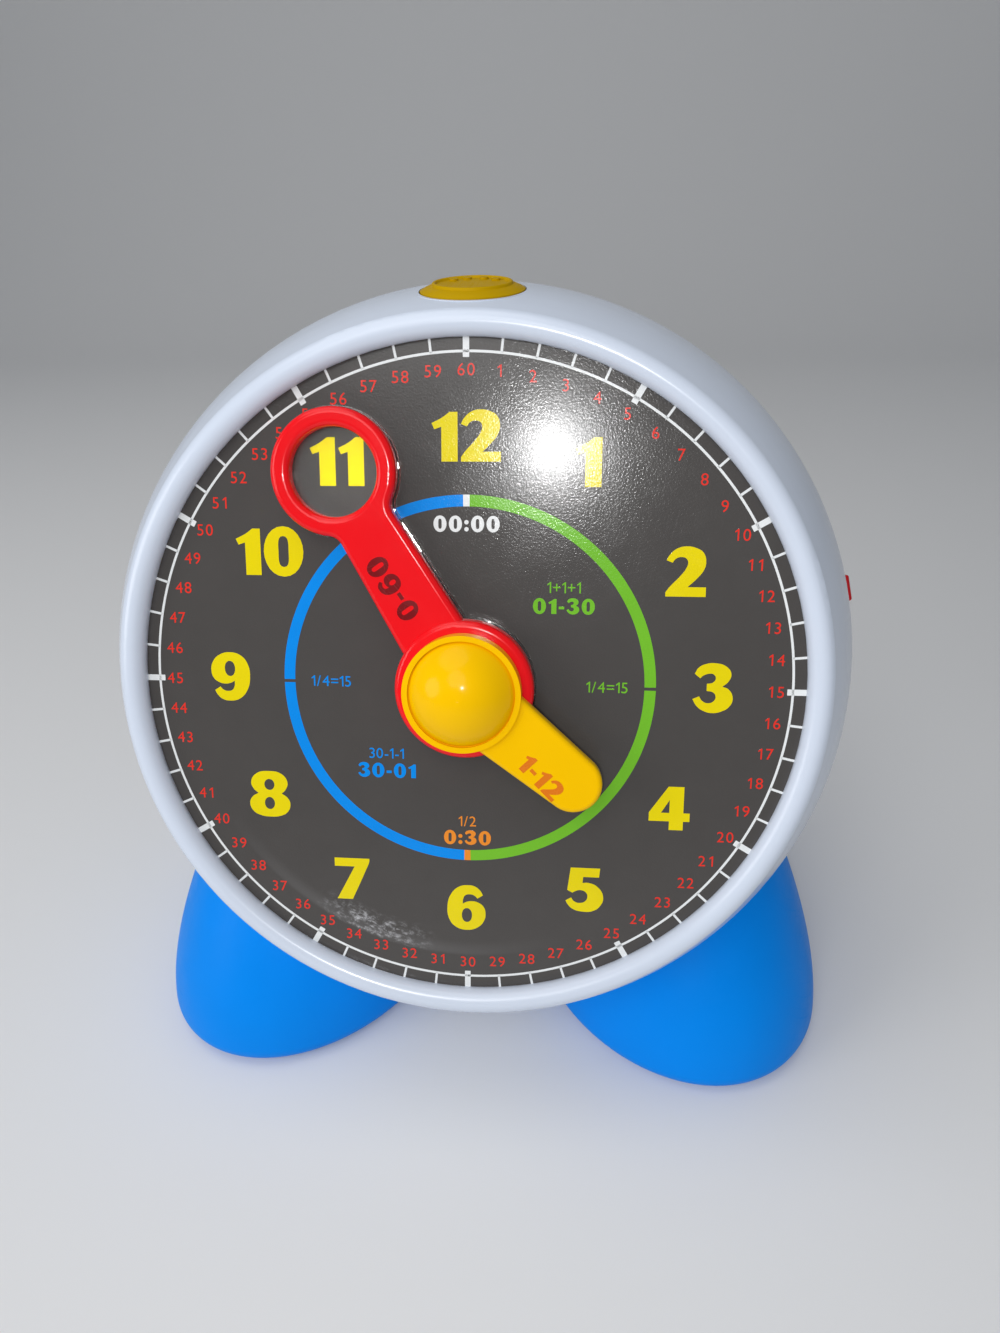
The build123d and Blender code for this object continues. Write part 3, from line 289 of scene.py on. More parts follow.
# %% Fine scratches
fine_scratches, ins, outs = start_group(
    "fine_scratches",
    [("Vector", "NodeSocketVector", None), ("Scale", "NodeSocketFloat", 1.0)],
    [("Mask", "NodeSocketFloat")],
)
link = fine_scratches.links.new
streaks = []
for lean in (18.0, 74.0, 133.0):
    turned = add_node(fine_scratches, "ShaderNodeMapping")
    preset(turned, Rotation=(0.0, math.radians(lean), 0.0))
    stretched = add_node(fine_scratches, "ShaderNodeMapping")
    preset(stretched, Scale=(50.0, 50.0, 4000.0))
    hairs = add_node(fine_scratches, "ShaderNodeTexNoise")
    preset(hairs, Detail=0.0)
    peaks = ramp(fine_scratches, 0.66, 0.76)
    link(ins.outputs["Vector"], turned.inputs["Vector"])
    link(turned.outputs["Vector"], stretched.inputs["Vector"])
    link(stretched.outputs["Vector"], hairs.inputs["Vector"])
    link(ins.outputs["Scale"], hairs.inputs["Scale"])
    link(hairs.outputs["Fac"], peaks.inputs["Value"])
    streaks.append(peaks)
two = add_node(fine_scratches, "ShaderNodeMath", operation="MAXIMUM")
three = add_node(fine_scratches, "ShaderNodeMath", operation="MAXIMUM")
link(streaks[0].outputs["Result"], two.inputs[0])
link(streaks[1].outputs["Result"], two.inputs[1])
link(two.outputs[0], three.inputs[0])
link(streaks[2].outputs["Result"], three.inputs[1])
link(three.outputs[0], outs.inputs["Mask"])
print("group", fine_scratches.name)

# %% [markdown]
# ### Smudges
# Fingers leave dull patches. They change only how sharp the reflections are, so this mask feeds the
# roughness.

# %% Smudges
smudges, ins, outs = start_group(
    "smudges",
    [("Vector", "NodeSocketVector", None), ("Scale", "NodeSocketFloat", 60.0)],
    [("Mask", "NodeSocketFloat")],
)
patches = add_node(smudges, "ShaderNodeTexNoise")
preset(patches, Detail=5.0, Distortion=0.8)
spread = ramp(smudges, 0.40, 0.70)
link = smudges.links.new
link(ins.outputs["Vector"], patches.inputs["Vector"])
link(ins.outputs["Scale"], patches.inputs["Scale"])
link(patches.outputs["Fac"], spread.inputs["Value"])
link(spread.outputs["Result"], outs.inputs["Mask"])
print("group", smudges.name)

# %% [markdown]
# ### Moulded grain
# A polished mould leaves soft waves like orange peel, and a blasted one leaves a fine grain that sparkles.
# The group puts out a height, which each material feeds to its own Bump node with its own strength.

# %% Moulded grain
moulded_grain, ins, outs = start_group(
    "moulded_grain",
    [
        ("Vector", "NodeSocketVector", None),
        ("Grain Scale", "NodeSocketFloat", 2600.0),
        ("Wave Scale", "NodeSocketFloat", 90.0),
        ("Wave Share", "NodeSocketFloat", 0.5),
    ],
    [("Height", "NodeSocketFloat")],
)
grain = add_node(moulded_grain, "ShaderNodeTexNoise")
preset(grain, Detail=2.0)
waves = add_node(moulded_grain, "ShaderNodeTexNoise")
preset(waves, Detail=1.0)
blend = add_node(moulded_grain, "ShaderNodeMix", data_type="FLOAT")
link = moulded_grain.links.new
link(ins.outputs["Vector"], grain.inputs["Vector"])
link(ins.outputs["Grain Scale"], grain.inputs["Scale"])
link(ins.outputs["Vector"], waves.inputs["Vector"])
link(ins.outputs["Wave Scale"], waves.inputs["Scale"])
link(ins.outputs["Wave Share"], blend.inputs["Factor"])
link(grain.outputs["Fac"], blend.inputs["A"])
link(waves.outputs["Fac"], blend.inputs["B"])
link(blend.outputs["Result"], outs.inputs["Height"])
print("group", moulded_grain.name)


# %% [markdown]
# ## Moulded plastics
# Most of the clock is injection moulded plastic, glossy outside and plain inside. They differ in colour,
# gloss, grain and wear, so one builder makes them all from a short line of values. Colours are written the
# way a paint program shows them, from 0 to 255, and turned into the linear values that the shader wants.

# %% Plastic builder
def linear(red, green, blue):
    channels = [channel / 255.0 for channel in (red, green, blue)]
    straight = [c / 12.92 if c <= 0.04045 else ((c + 0.055) / 1.055) ** 2.4 for c in channels]
    return (*straight, 1.0)


def group_node(tree, group, place, **values):
    node = tree.nodes.new("ShaderNodeGroup")
    node.node_tree = group
    tree.links.new(place.outputs["Object"], node.inputs["Vector"])
    preset(node, **values)
    return node


def worn_roughness(tree, place, base, smudge, scratch, scratch_scale):
    """Roughness that rises from its base value in smudged patches and along scratches."""
    patches = group_node(tree, smudges, place)
    hairs = group_node(tree, fine_scratches, place, Scale=scratch_scale)
    dull = add_node(tree, "ShaderNodeMath", operation="MULTIPLY_ADD")
    dull.inputs[1].default_value = smudge
    dull.inputs[2].default_value = base
    lined = add_node(tree, "ShaderNodeMath", operation="MULTIPLY_ADD")
    lined.inputs[1].default_value = scratch
    tree.links.new(patches.outputs["Mask"], dull.inputs[0])
    tree.links.new(hairs.outputs["Mask"], lined.inputs[0])
    tree.links.new(dull.outputs[0], lined.inputs[2])
    return lined


relief_depth = 0.4 * mm


def add_relief(tree, place, shader, bump, grain_scale, wave_share):
    """Lets the moulded grain bump the shader's normal."""
    surface = group_node(tree, moulded_grain, place, Grain_Scale=grain_scale, Wave_Share=wave_share)
    relief = add_node(tree, "ShaderNodeBump")
    preset(relief, Strength=bump, Distance=relief_depth)
    tree.links.new(surface.outputs["Height"], relief.inputs["Height"])
    tree.links.new(relief.outputs["Normal"], shader.inputs["Normal"])


def start_material(name):
    material = bpy.data.materials.new(name)
    material.use_nodes = True
    tree = material.node_tree
    return material, tree, tree.nodes["Principled BSDF"], add_node(tree, "ShaderNodeTexCoord")


def plastic(name, color, roughness, drift=0.03, smudge=0.08, scratch=0.10, scratch_scale=1.0,
            grain_scale=2600.0, wave_share=0.9, bump=0.02, specular=0.35):
    material, tree, shader, place = start_material(name)
    preset(shader, Specular_IOR_Level=specular)
    tone = group_node(tree, tone_drift, place, Amount=drift, Color=linear(*color))
    tree.links.new(tone.outputs["Color"], shader.inputs["Base Color"])
    worn = worn_roughness(tree, place, roughness, smudge, scratch, scratch_scale)
    tree.links.new(worn.outputs[0], shader.inputs["Roughness"])
    add_relief(tree, place, shader, bump, grain_scale, wave_share)
    return material


finishes = {
    "housing": plastic(
        "housing_gloss", (212, 221, 236), 0.20,
        drift=0.012, smudge=0.04, scratch=0.0, bump=0.003, specular=0.5,
    ),
    "inner_plastic": plastic("inner_natural", (225, 225, 220), 0.50, drift=0.03, wave_share=0.4, bump=0.15),
    "minute_red": plastic(
        "minute_hand_red", (240, 14, 24), 0.15, drift=0.02, smudge=0.04, scratch=0.05, bump=0.004
    ),
    "hour_yellow": plastic(
        "hour_hand_yellow", (249, 194, 0), 0.13, drift=0.02, smudge=0.04, bump=0.004, specular=0.11
    ),
    "button_yellow": plastic(
        "button_golden", (190, 152, 0), 0.45, drift=0.03, wave_share=0.5, bump=0.03, specular=0.05
    ),
    "slider_red": plastic("slider_dark_red", (185, 16, 26), 0.30, drift=0.04),
    "foot_blue": plastic(
        "foot_satin_blue", (0, 140, 244), 0.38, drift=0.03, wave_share=0.25, bump=0.12, specular=0.08
    ),
    "pad_rubber": plastic("pad_rubber", (38, 38, 40), 0.80, drift=0.10, wave_share=0.2, bump=0.30),
    "black_plastic": plastic("switch_black", (28, 28, 30), 0.45, drift=0.08, wave_share=0.3, bump=0.15),
    "capacitor_blue": plastic("component_blue", (40, 70, 150), 0.35, drift=0.05),
}
print("plastics", sorted(finishes))


# %% [markdown]
# ## What the hand has rubbed into the dial
# The end of the minute hand slides over the dial, and at the lower left it has rubbed a pale arc into the
# film just inside the minute figures. An arc asks for round coordinates: from a point on the dial we work
# out how far it is from the centre and which way it lies from the six. Noise that is fed with these two is
# stretched along the arc. The mask is strong only between two radii and around one direction, and the
# noise tears it into flakes.

# %% Rubbed arc
rubbed_arc, ins, outs = start_group(
    "rubbed_arc", [("Vector", "NodeSocketVector", None)], [("Mask", "NodeSocketFloat")]
)


def product(tree, *factors):
    """All values multiplied together."""
    total = factors[0]
    for factor in factors[1:]:
        times = add_node(tree, "ShaderNodeMath", operation="MULTIPLY")
        tree.links.new(total, times.inputs[0])
        tree.links.new(factor, times.inputs[1])
        total = times.outputs[0]
    return total


rub_bearing = 0.36
dust_share = 0.06
from_centre = add_node(rubbed_arc, "ShaderNodeVectorMath", operation="SUBTRACT")
from_centre.inputs[1].default_value = dial_centre
leftward = add_node(rubbed_arc, "ShaderNodeVectorMath", operation="DOT_PRODUCT")
leftward.inputs[1].default_value = -dial_right
downward = add_node(rubbed_arc, "ShaderNodeVectorMath", operation="DOT_PRODUCT")
downward.inputs[1].default_value = -dial_up
distance = add_node(rubbed_arc, "ShaderNodeVectorMath", operation="LENGTH")
bearing = add_node(rubbed_arc, "ShaderNodeMath", operation="ARCTAN2")
aside = add_node(rubbed_arc, "ShaderNodeMath", operation="SUBTRACT")
aside.inputs[1].default_value = rub_bearing
apart = add_node(rubbed_arc, "ShaderNodeMath", operation="ABSOLUTE")
inner_edge = ramp(rubbed_arc, 83.0 * mm, 88.0 * mm)
dust_edge = ramp(rubbed_arc, 87.0 * mm, 91.0 * mm)
outer_edge = ramp(rubbed_arc, 93.0 * mm, 91.6 * mm)
near = ramp(rubbed_arc, 0.26, 0.03)
far = ramp(rubbed_arc, 0.75, 0.10)
polar = add_node(rubbed_arc, "ShaderNodeCombineXYZ")
stretched = add_node(rubbed_arc, "ShaderNodeVectorMath", operation="MULTIPLY")
stretched.inputs[1].default_value = (24.0, 700.0, 0.0)
streaks = add_node(rubbed_arc, "ShaderNodeTexNoise")
preset(streaks, Scale=1.0, Detail=5.0, Roughness=0.7)
flakes = add_node(rubbed_arc, "ShaderNodeTexNoise")
preset(flakes, Scale=380.0, Detail=6.0, Roughness=0.65)
torn = ramp(rubbed_arc, 0.40, 0.66)
flaked = ramp(rubbed_arc, 0.40, 0.66)
haze = add_node(rubbed_arc, "ShaderNodeMath", operation="MULTIPLY_ADD", use_clamp=True)
haze.inputs[1].default_value = dust_share
link = rubbed_arc.links.new
link(ins.outputs["Vector"], from_centre.inputs[0])
link(from_centre.outputs["Vector"], leftward.inputs[0])
link(from_centre.outputs["Vector"], downward.inputs[0])
link(from_centre.outputs["Vector"], distance.inputs[0])
link(leftward.outputs["Value"], bearing.inputs[0])
link(downward.outputs["Value"], bearing.inputs[1])
link(bearing.outputs[0], aside.inputs[0])
link(aside.outputs[0], apart.inputs[0])
link(apart.outputs[0], near.inputs["Value"])
link(apart.outputs[0], far.inputs["Value"])
link(distance.outputs["Value"], inner_edge.inputs["Value"])
link(distance.outputs["Value"], dust_edge.inputs["Value"])
link(distance.outputs["Value"], outer_edge.inputs["Value"])
link(bearing.outputs[0], polar.inputs["X"])
link(distance.outputs["Value"], polar.inputs["Y"])
link(polar.outputs["Vector"], stretched.inputs[0])
link(stretched.outputs["Vector"], streaks.inputs["Vector"])
link(streaks.outputs["Fac"], torn.inputs["Value"])
link(ins.outputs["Vector"], flakes.inputs["Vector"])
link(flakes.outputs["Fac"], flaked.inputs["Value"])
band = product(rubbed_arc, inner_edge.outputs["Result"], outer_edge.outputs["Result"])
scuff = product(rubbed_arc, band, near.outputs["Result"], torn.outputs["Result"], flaked.outputs["Result"])
dust = product(rubbed_arc, dust_edge.outputs["Result"], outer_edge.outputs["Result"], far.outputs["Result"])
link(dust, haze.inputs[0])
link(scuff, haze.inputs[2])
link(haze.outputs[0], outs.inputs["Mask"])
print("group", rubbed_arc.name)


# %% [markdown]
# ## Dial sheet
# The dial is a dark printed sheet under a clear gloss film. The film is not flat: a fine grain breaks up
# every reflection into sparkles, and hair scratches run through it. All the inks of the dial lie under the
# same film, so one builder makes the dark ground and every ink.

# %% Dial sheet
def dial_film(name, color, roughness=0.12):
    """A printed colour under the film, with the film's grain, scratches and rubbed arc."""
    material, tree, shader, place = start_material(name)
    preset(shader, Specular_IOR_Level=0.25, Coat_Weight=0.3, Coat_Roughness=0.17)
    tone = group_node(tree, tone_drift, place, Amount=0.03, Scale=90.0, Color=linear(*color))
    worn = worn_roughness(tree, place, roughness, smudge=0.05, scratch=0.06, scratch_scale=1.0)
    tree.links.new(worn.outputs[0], shader.inputs["Roughness"])
    arc = group_node(tree, rubbed_arc, place)
    rubbed = add_node(tree, "ShaderNodeMix", data_type="RGBA")
    preset(rubbed, B=linear(205, 205, 208))
    tree.links.new(arc.outputs["Mask"], rubbed.inputs["Factor"])
    tree.links.new(tone.outputs["Color"], rubbed.inputs["A"])
    tree.links.new(rubbed.outputs["Result"], shader.inputs["Base Color"])
    add_relief(tree, place, shader, bump=0.15, grain_scale=1700.0, wave_share=0.1)
    return material


finishes["dial_print"] = dial_film("dial_dark_film", (76, 73, 71))
print("dial finish", finishes["dial_print"].name)

# %% [markdown]
# ## Clear plastic under the minute hand
# A clear plate lies under the red hand. It stands out half a millimetre all round, where its edge glints,
# and it is the window in the ring. It is a real refracting plastic. A light path switch lets light fall
# through the window onto the figure below, which saves the slow bouncing that glass shadows would need.

# %% Clear plastic
clear, tree, shader, place = start_material("clear_window")
preset(shader, Base_Color=(0.88, 0.89, 0.89, 1.0), Transmission_Weight=1.0, IOR=1.49)
touched = group_node(tree, smudges, place)
dulled = add_node(tree, "ShaderNodeMath", operation="MULTIPLY_ADD")
dulled.inputs[1].default_value = 0.04
dulled.inputs[2].default_value = 0.01
tree.links.new(touched.outputs["Mask"], dulled.inputs[0])
tree.links.new(dulled.outputs[0], shader.inputs["Roughness"])
see_through = add_node(tree, "ShaderNodeBsdfTransparent")
switch = add_node(tree, "ShaderNodeMixShader")
ray = add_node(tree, "ShaderNodeLightPath")
tree.links.new(ray.outputs["Is Shadow Ray"], switch.inputs["Fac"])
tree.links.new(shader.outputs["BSDF"], switch.inputs[1])
tree.links.new(see_through.outputs["BSDF"], switch.inputs[2])
tree.links.new(switch.outputs["Shader"], tree.nodes["Material Output"].inputs["Surface"])
finishes["clear_plastic"] = clear
print("clear finish", clear.name)


# %% [markdown]
# ## Metals
# Screws, springs and contacts are steel, the arbor tube and the wipers are brass. Turned and stamped metal
# has fine lines along one direction, so the roughness comes from the same scratches, only denser.

# %% Metals
def metal(name, color, roughness, drift):
    material = plastic(
        name, color, roughness, drift=drift, smudge=0.12, scratch=0.25, scratch_scale=2.5, bump=0.04
    )
    preset(material.node_tree.nodes["Principled BSDF"], Metallic=1.0)
    return material


finishes["steel"] = metal("plain_steel", (190, 190, 194), 0.32, 0.06)
finishes["brass"] = metal("plain_brass", (200, 166, 90), 0.30, 0.06)
finishes["magnet_iron"] = metal("magnet_iron", (90, 90, 94), 0.50, 0.10)
print("metals", [finishes[slot].name for slot in ("steel", "brass", "magnet_iron")])

# %% [markdown]
# ## What is inside
# The boards, the paper cone of the loudspeaker and the cells are shut inside the case. They still get
# their own finishes, because the model may be opened: lacquered green with paler tracks, ribbed paper, and
# banded jackets.

# %% Boards, cone and cells
def tone_of(tree):
    """The node of a plastic that its colour goes through."""
    return next(node for node in tree.nodes if getattr(node, "node_tree", None) == tone_drift)


board = plastic("board_lacquer", (26, 95, 55), 0.30, drift=0.05)
tree = board.node_tree
place = tree.nodes["Texture Coordinate"]
tracks = add_node(tree, "ShaderNodeTexBrick", offset=0.37)
preset(tracks, Color1=linear(26, 95, 55), Color2=linear(22, 84, 48), Mortar=linear(62, 135, 84))
preset(tracks, Scale=160.0, Mortar_Size=0.03)
tree.links.new(place.outputs["Object"], tracks.inputs["Vector"])
tree.links.new(tracks.outputs["Color"], tone_of(tree).inputs["Color"])
finishes["board_green"] = board
finishes["cone_paper"] = plastic(
    "cone_paper", (52, 48, 44), 0.85, drift=0.15, grain_scale=1500.0, wave_share=0.1, bump=0.5
)
cells = plastic("cell_jacket", (60, 62, 66), 0.30, drift=0.03)
tree = cells.node_tree
place = tree.nodes["Texture Coordinate"]
bands = add_node(tree, "ShaderNodeTexWave", wave_type="BANDS", bands_direction="X", wave_profile="SAW")
preset(bands, Scale=6.0)
edge = add_node(tree, "ShaderNodeMapRange", interpolation_type="STEPPED")
paint = add_node(tree, "ShaderNodeMix", data_type="RGBA")
preset(paint, A=linear(40, 41, 44), B=linear(176, 140, 84))
tree.links.new(place.outputs["Object"], bands.inputs["Vector"])
tree.links.new(bands.outputs["Fac"], edge.inputs["Value"])
tree.links.new(edge.outputs["Result"], paint.inputs["Factor"])
tree.links.new(paint.outputs["Result"], tone_of(tree).inputs["Color"])
finishes["cell_jacket"] = cells
print("inner finishes", board.name, cells.name)

# %% [markdown]
# ## Dress the solids
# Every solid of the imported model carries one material, named for the record's slot. Each is swapped for
# the finish of that slot. The meshes stay as they are.

# %% Dress the solids
dressed = 0
for node in frame["nodes"].values():
    for holder in node.material_slots:
        slot_name = holder.material.name.split(".")[0]
        holder.material = finishes[slot_name]
        dressed += 1
print("dressed", dressed, "material slots")


# %% [markdown]
# ## Helpers for printing
# Print is drawn flat at the origin, in millimetres, with X to the right and Y up. A drawing can be a
# closed curve or a piece of text. Both are converted to a mesh, copied to where they are needed, joined,
# given the thickness of a layer of ink with a Solidify modifier, and only then taken onto the dial.

# %% Print helpers
def select_only(piece):
    bpy.ops.object.select_all(action="DESELECT")
    piece.select_set(True)
    bpy.context.view_layer.objects.active = piece


def as_mesh(piece):
    select_only(piece)
    bpy.ops.object.convert(target="MESH")
    return bpy.context.object


def copy_of(piece):
    twin = piece.copy()
    twin.data = piece.data.copy()
    bpy.context.collection.objects.link(twin)
    return twin


def joined(name, pieces):
    select_only(pieces[0])
    for piece in pieces:
        piece.select_set(True)
    if len(pieces) > 1:
        bpy.ops.object.join()
    whole = bpy.context.object
    whole.name = name
    whole.data.name = name
    return whole


def merge_doubles(piece, threshold=0.0005):
    select_only(piece)
    bpy.ops.object.mode_set(mode="EDIT")
    bpy.ops.mesh.select_all(action="SELECT")
    bpy.ops.mesh.remove_doubles(threshold=threshold)
    bpy.ops.object.mode_set(mode="OBJECT")


ink_depth = 0.12


def print_flat(piece, ink, body="case", lift=None, at=(0.0, 0.0), turn=0.0):
    """Gives a flat drawing the thickness of ink and takes it onto the dial or a hand, where it rides."""
    merge_doubles(piece)
    layer = piece.modifiers.new("ink_layer", "SOLIDIFY")
    layer.thickness = ink_depth
    layer.offset = 0.0
    bpy.ops.object.modifier_apply(modifier=layer.name)
    ground = dial_front if lift is None else lift
    middle = dial_centre + (dial_right * at[0] + dial_up * at[1] + dial_out * ground) * mm
    axes = Matrix((dial_right, dial_up, dial_out)).transposed().to_4x4()
    flat_turn = Matrix.Rotation(math.radians(turn), 4, "Z")
    piece.data.transform(Matrix.Translation(middle) @ axes @ flat_turn @ Matrix.Scale(mm, 4))
    if ink:
        piece.data.materials.clear()
        piece.data.materials.append(ink)
    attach(piece, body)
    return piece


inks = {
    "white": dial_film("ink_white", (236, 238, 238)),
    "yellow": dial_film("ink_yellow", (236, 216, 0)),
    "red": dial_film("ink_red", (232, 52, 40)),
    "blue": dial_film("ink_blue", (0, 140, 236)),
    "green": dial_film("ink_green", (116, 190, 44)),
    "orange": dial_film("ink_orange", (238, 142, 44)),
}
print("inks", sorted(inks))

# %% [markdown]
# ## The minute track
# A thin white circle runs round the dial, and from it sixty ticks run out under the rim of the case. Every
# fifth tick is heavier and starts a little further in. One tick of each sort is modelled and copied. The
# circle starts as a ring of edges, which is extruded and pushed outwards into a band.

# %% Minute track
def flat_band(name, inner, outer, steps):
    band = add_piece(bpy.ops.mesh.primitive_circle_add, vertices=steps, radius=inner)
    band.name = name
    bpy.ops.object.mode_set(mode="EDIT")
    bpy.ops.mesh.select_all(action="SELECT")
    bpy.ops.mesh.extrude_edges_move()
    bpy.ops.transform.resize(value=(outer / inner, outer / inner, 1.0))
    bpy.ops.mesh.select_all(action="SELECT")
    bpy.ops.mesh.normals_make_consistent(inside=False)
    bpy.ops.mesh.select_mode(type="FACE")
    bpy.ops.mesh.select_all(action="DESELECT")
    bpy.ops.object.mode_set(mode="OBJECT")
    return band


corner_share = 0.08


def flat_tick(name, width, inner, outer):
    """A tick that stands at the top of the dial, with its corners rounded."""
    tick = add_piece(bpy.ops.mesh.primitive_plane_add, size=1.0)
    tick.name = name
    stretch = Matrix.Diagonal((width, outer - inner, 1.0, 1.0))
    tick.data.transform(Matrix.Translation((0.0, (inner + outer) / 2, 0.0)) @ stretch)
    bpy.ops.object.mode_set(mode="EDIT")
    bpy.ops.mesh.select_all(action="SELECT")
    bpy.ops.mesh.bevel(affect="VERTICES", offset=width * corner_share, segments=2)
    bpy.ops.object.mode_set(mode="OBJECT")
    return tick


track_radius = 100.0
track_end = 105.6
line_width = 0.75
heavy_width = 1.9
heavy_start = 98.3
minute_angle = 6.0
thin_tick = flat_tick("thin_tick", line_width, track_radius, track_end)
heavy_tick = flat_tick("heavy_tick", heavy_width, heavy_start, track_end)
ticks = [flat_band("minute_track", track_radius - line_width / 2, track_radius + line_width / 2, 240)]
for minute in range(60):
    tick = copy_of(heavy_tick if minute % 5 == 0 else thin_tick)
    tick.data.transform(Matrix.Rotation(math.radians(-minute_angle * minute), 4, "Z"))
    ticks.append(tick)
for pattern in (thin_tick, heavy_tick):
    bpy.data.objects.remove(pattern)
minute_track = print_flat(joined("minute_track", ticks), inks["white"])
print("minute track with", len(minute_track.data.polygons), "faces")

# %% [markdown]
# ## The two-coloured ring
# Half of the ring is green and half is blue, and short marks split it at the quarters. It is one band of
# edges again, fine enough that each small face can be given its ink by its place, or taken out for a gap.

# %% Two-coloured ring
ring_inner = 55.2
ring_outer = 58.7
top_mark = 1.0
bottom_mark = 0.8
quarter_gap = 0.55
ring = flat_band("hour_ring", ring_inner, ring_outer, 720)
for name in ("green", "blue", "white", "orange"):
    ring.data.materials.append(inks[name])
gaps = []
for face in ring.data.polygons:
    x, y = face.center.x, face.center.y
    face.material_index = 0 if x > 0.0 else 1
    if abs(x) < top_mark and y > 0.0:
        face.material_index = 2
    if abs(x) < bottom_mark and y < 0.0:
        face.material_index = 3
    face.select = abs(y) < quarter_gap
    gaps.append(face.select)
select_only(ring)
bpy.ops.object.mode_set(mode="EDIT")
bpy.ops.mesh.delete(type="FACE")
bpy.ops.object.mode_set(mode="OBJECT")
print_flat(ring, None)
print("ring without", sum(gaps), "of", len(gaps), "faces")

# %% [markdown]
# ## The hour figures
# The twelve hours are fat round figures, heavier than the letters of the built-in font can be made. Each
# digit is therefore drawn once as a closed outline around its own middle, 14.4 mm tall. A third number
# marks a sharp corner, and Blender's automatic handles make everything else a smooth curve. The nine is
# the six, turned.

# %% Hour digits
cap_height = 14.4


def oval(x, y, half_width, half_height):
    return [(x + half_width, y), (x, y + half_height), (x - half_width, y), (x, y - half_height)]


hour_outlines = {
    "0": [oval(0, 7.4, 6.3, 7.8), oval(0, 7.4, 1.6, 4.8)],
    "1": [[(3.9, 14.4, 1), (1.5, 14.4, 1), (-0.7, 12.8), (-3.9, 11.2, 1), (-3.1, 9.4, 1), (-1, 10.1, 1),
           (-1, 0, 1), (3.9, 0, 1)]],
    "2": [[(-5.9, 0, 1), (6.1, 0, 1), (6.1, 2.9, 1), (0.6, 2.9, 1), (3.2, 5.4), (5.2, 8), (5.8, 10.5),
           (4.9, 13.3), (3.1, 14.5), (-0.1, 15.1), (-2.9, 14.4), (-5.1, 12.4), (-5.9, 10.9, 1),
           (-4.1, 10.2, 1), (-3, 11.5), (-1.3, 11.9), (0, 11.4), (0.5, 10.3), (0, 8.5), (-1.5, 6.4),
           (-4.8, 2.8), (-5.9, 1.3, 1)]],
    "3": [[(-5.7, 12, 1), (-4.5, 14), (-2, 15.2), (0.3, 15.4), (3.6, 14.5), (5.3, 12.2), (4.6, 9.8),
           (2.8, 8.1, 1), (4.7, 7.3), (6.1, 4.5), (5.2, 1.9), (2.9, 0.3), (0, -0.3), (-3, 0.5),
           (-4.8, 1.9), (-6.1, 4, 1), (-4.1, 4.9, 1), (-3, 3.4), (-1.2, 2.8), (0.5, 3.6), (0.9, 4.9),
           (0.3, 6.1), (-1.9, 6.7, 1), (-1.9, 8.9, 1), (0, 9.4), (0.7, 10.8), (0, 11.9), (-1.2, 12.1),
           (-3, 11.5), (-4, 10.6, 1)]],
    "4": [[(-0.5, 14.4, 1), (4.4, 14.4, 1), (4.4, 5.7, 1), (6.4, 5.7, 1), (6.4, 2.9, 1), (4.4, 2.9, 1),
           (4.4, 0, 1), (0, 0, 1), (0, 2.9, 1), (-6.4, 2.9, 1), (-6.4, 5.7, 1)],
          [(-2.6, 5.7, 1), (0, 5.7, 1), (0, 10, 1)]],
    "5": [[(-4.6, 14.8, 1), (4.9, 14.8, 1), (4.6, 11.7, 1), (-0.5, 11.7, 1), (-0.7, 9.6, 1), (1.2, 9.7),
           (4.2, 8.4), (6.1, 4.9), (5.1, 1.7), (2.7, -0.1), (-0.5, -0.4), (-3.7, 0.4), (-5.4, 2),
           (-6.1, 3.3, 1), (-4.3, 4.4, 1), (-3.3, 3.1), (-1.4, 2.6), (0.3, 3.3), (1, 4.8), (0.4, 6.4),
           (-1.3, 7.1), (-2.7, 6.8), (-3.9, 6.1, 1), (-5.6, 7, 1)]],
    "6": [[(5.4, 12.2, 1), (4.6, 13.7), (2.8, 15.2), (0.7, 15.6), (-2.6, 14.9), (-5.3, 12), (-6.4, 7.7),
           (-5.8, 3.4), (-3.8, 0.8), (-0.1, -0.3), (3.6, 0.7), (5.7, 3), (6.3, 5.7), (5.6, 8.2),
           (3.8, 9.6), (1.6, 10), (-0.2, 9.6), (-1.3, 9, 1), (-1.1, 10.8), (-0.4, 12), (1.2, 12.4),
           (2.6, 12), (3.6, 11, 1)],
          oval(0.1, 5.0, 1.7, 2.5)],
    "7": [[(-5.9, 14.5, 1), (5.8, 14.5, 1), (5.8, 13.6), (4.7, 10.8), (-0.1, 0, 1), (-5.3, 0, 1),
           (0.8, 11.6, 1), (-5.9, 11.6, 1)]],
    "8": [[(0, 15.4), (-4.2, 14.5), (-6.1, 11.7), (-5.4, 9.3), (-3.8, 7.8, 1), (-5.9, 6.4), (-6.8, 4.2),
           (-5.6, 1.4), (-3.2, 0.1), (0.1, -0.3), (3.4, 0.1), (5.7, 1.4), (6.8, 4.1), (6, 6.3),
           (4, 7.8, 1), (5.4, 9.2), (6.1, 11.7), (4.2, 14.5)],
          oval(0, 10.8, 1.7, 1.9), oval(-0.1, 4.4, 1.7, 2.1)],
    ":": [oval(0, 2.4, 2.1, 2.1), oval(0, 9.0, 2.1, 2.1)],
    "-": [[(-2.6, 4.6, 1), (2.6, 4.6, 1), (2.6, 7.2, 1), (-2.6, 7.2, 1)]],
}
turned_height = 15.3
hour_outlines["9"] = []
for outline in hour_outlines["6"]:
    turned = [(-point[0], turned_height - point[1], *point[2:]) for point in outline]
    hour_outlines["9"].append(turned)


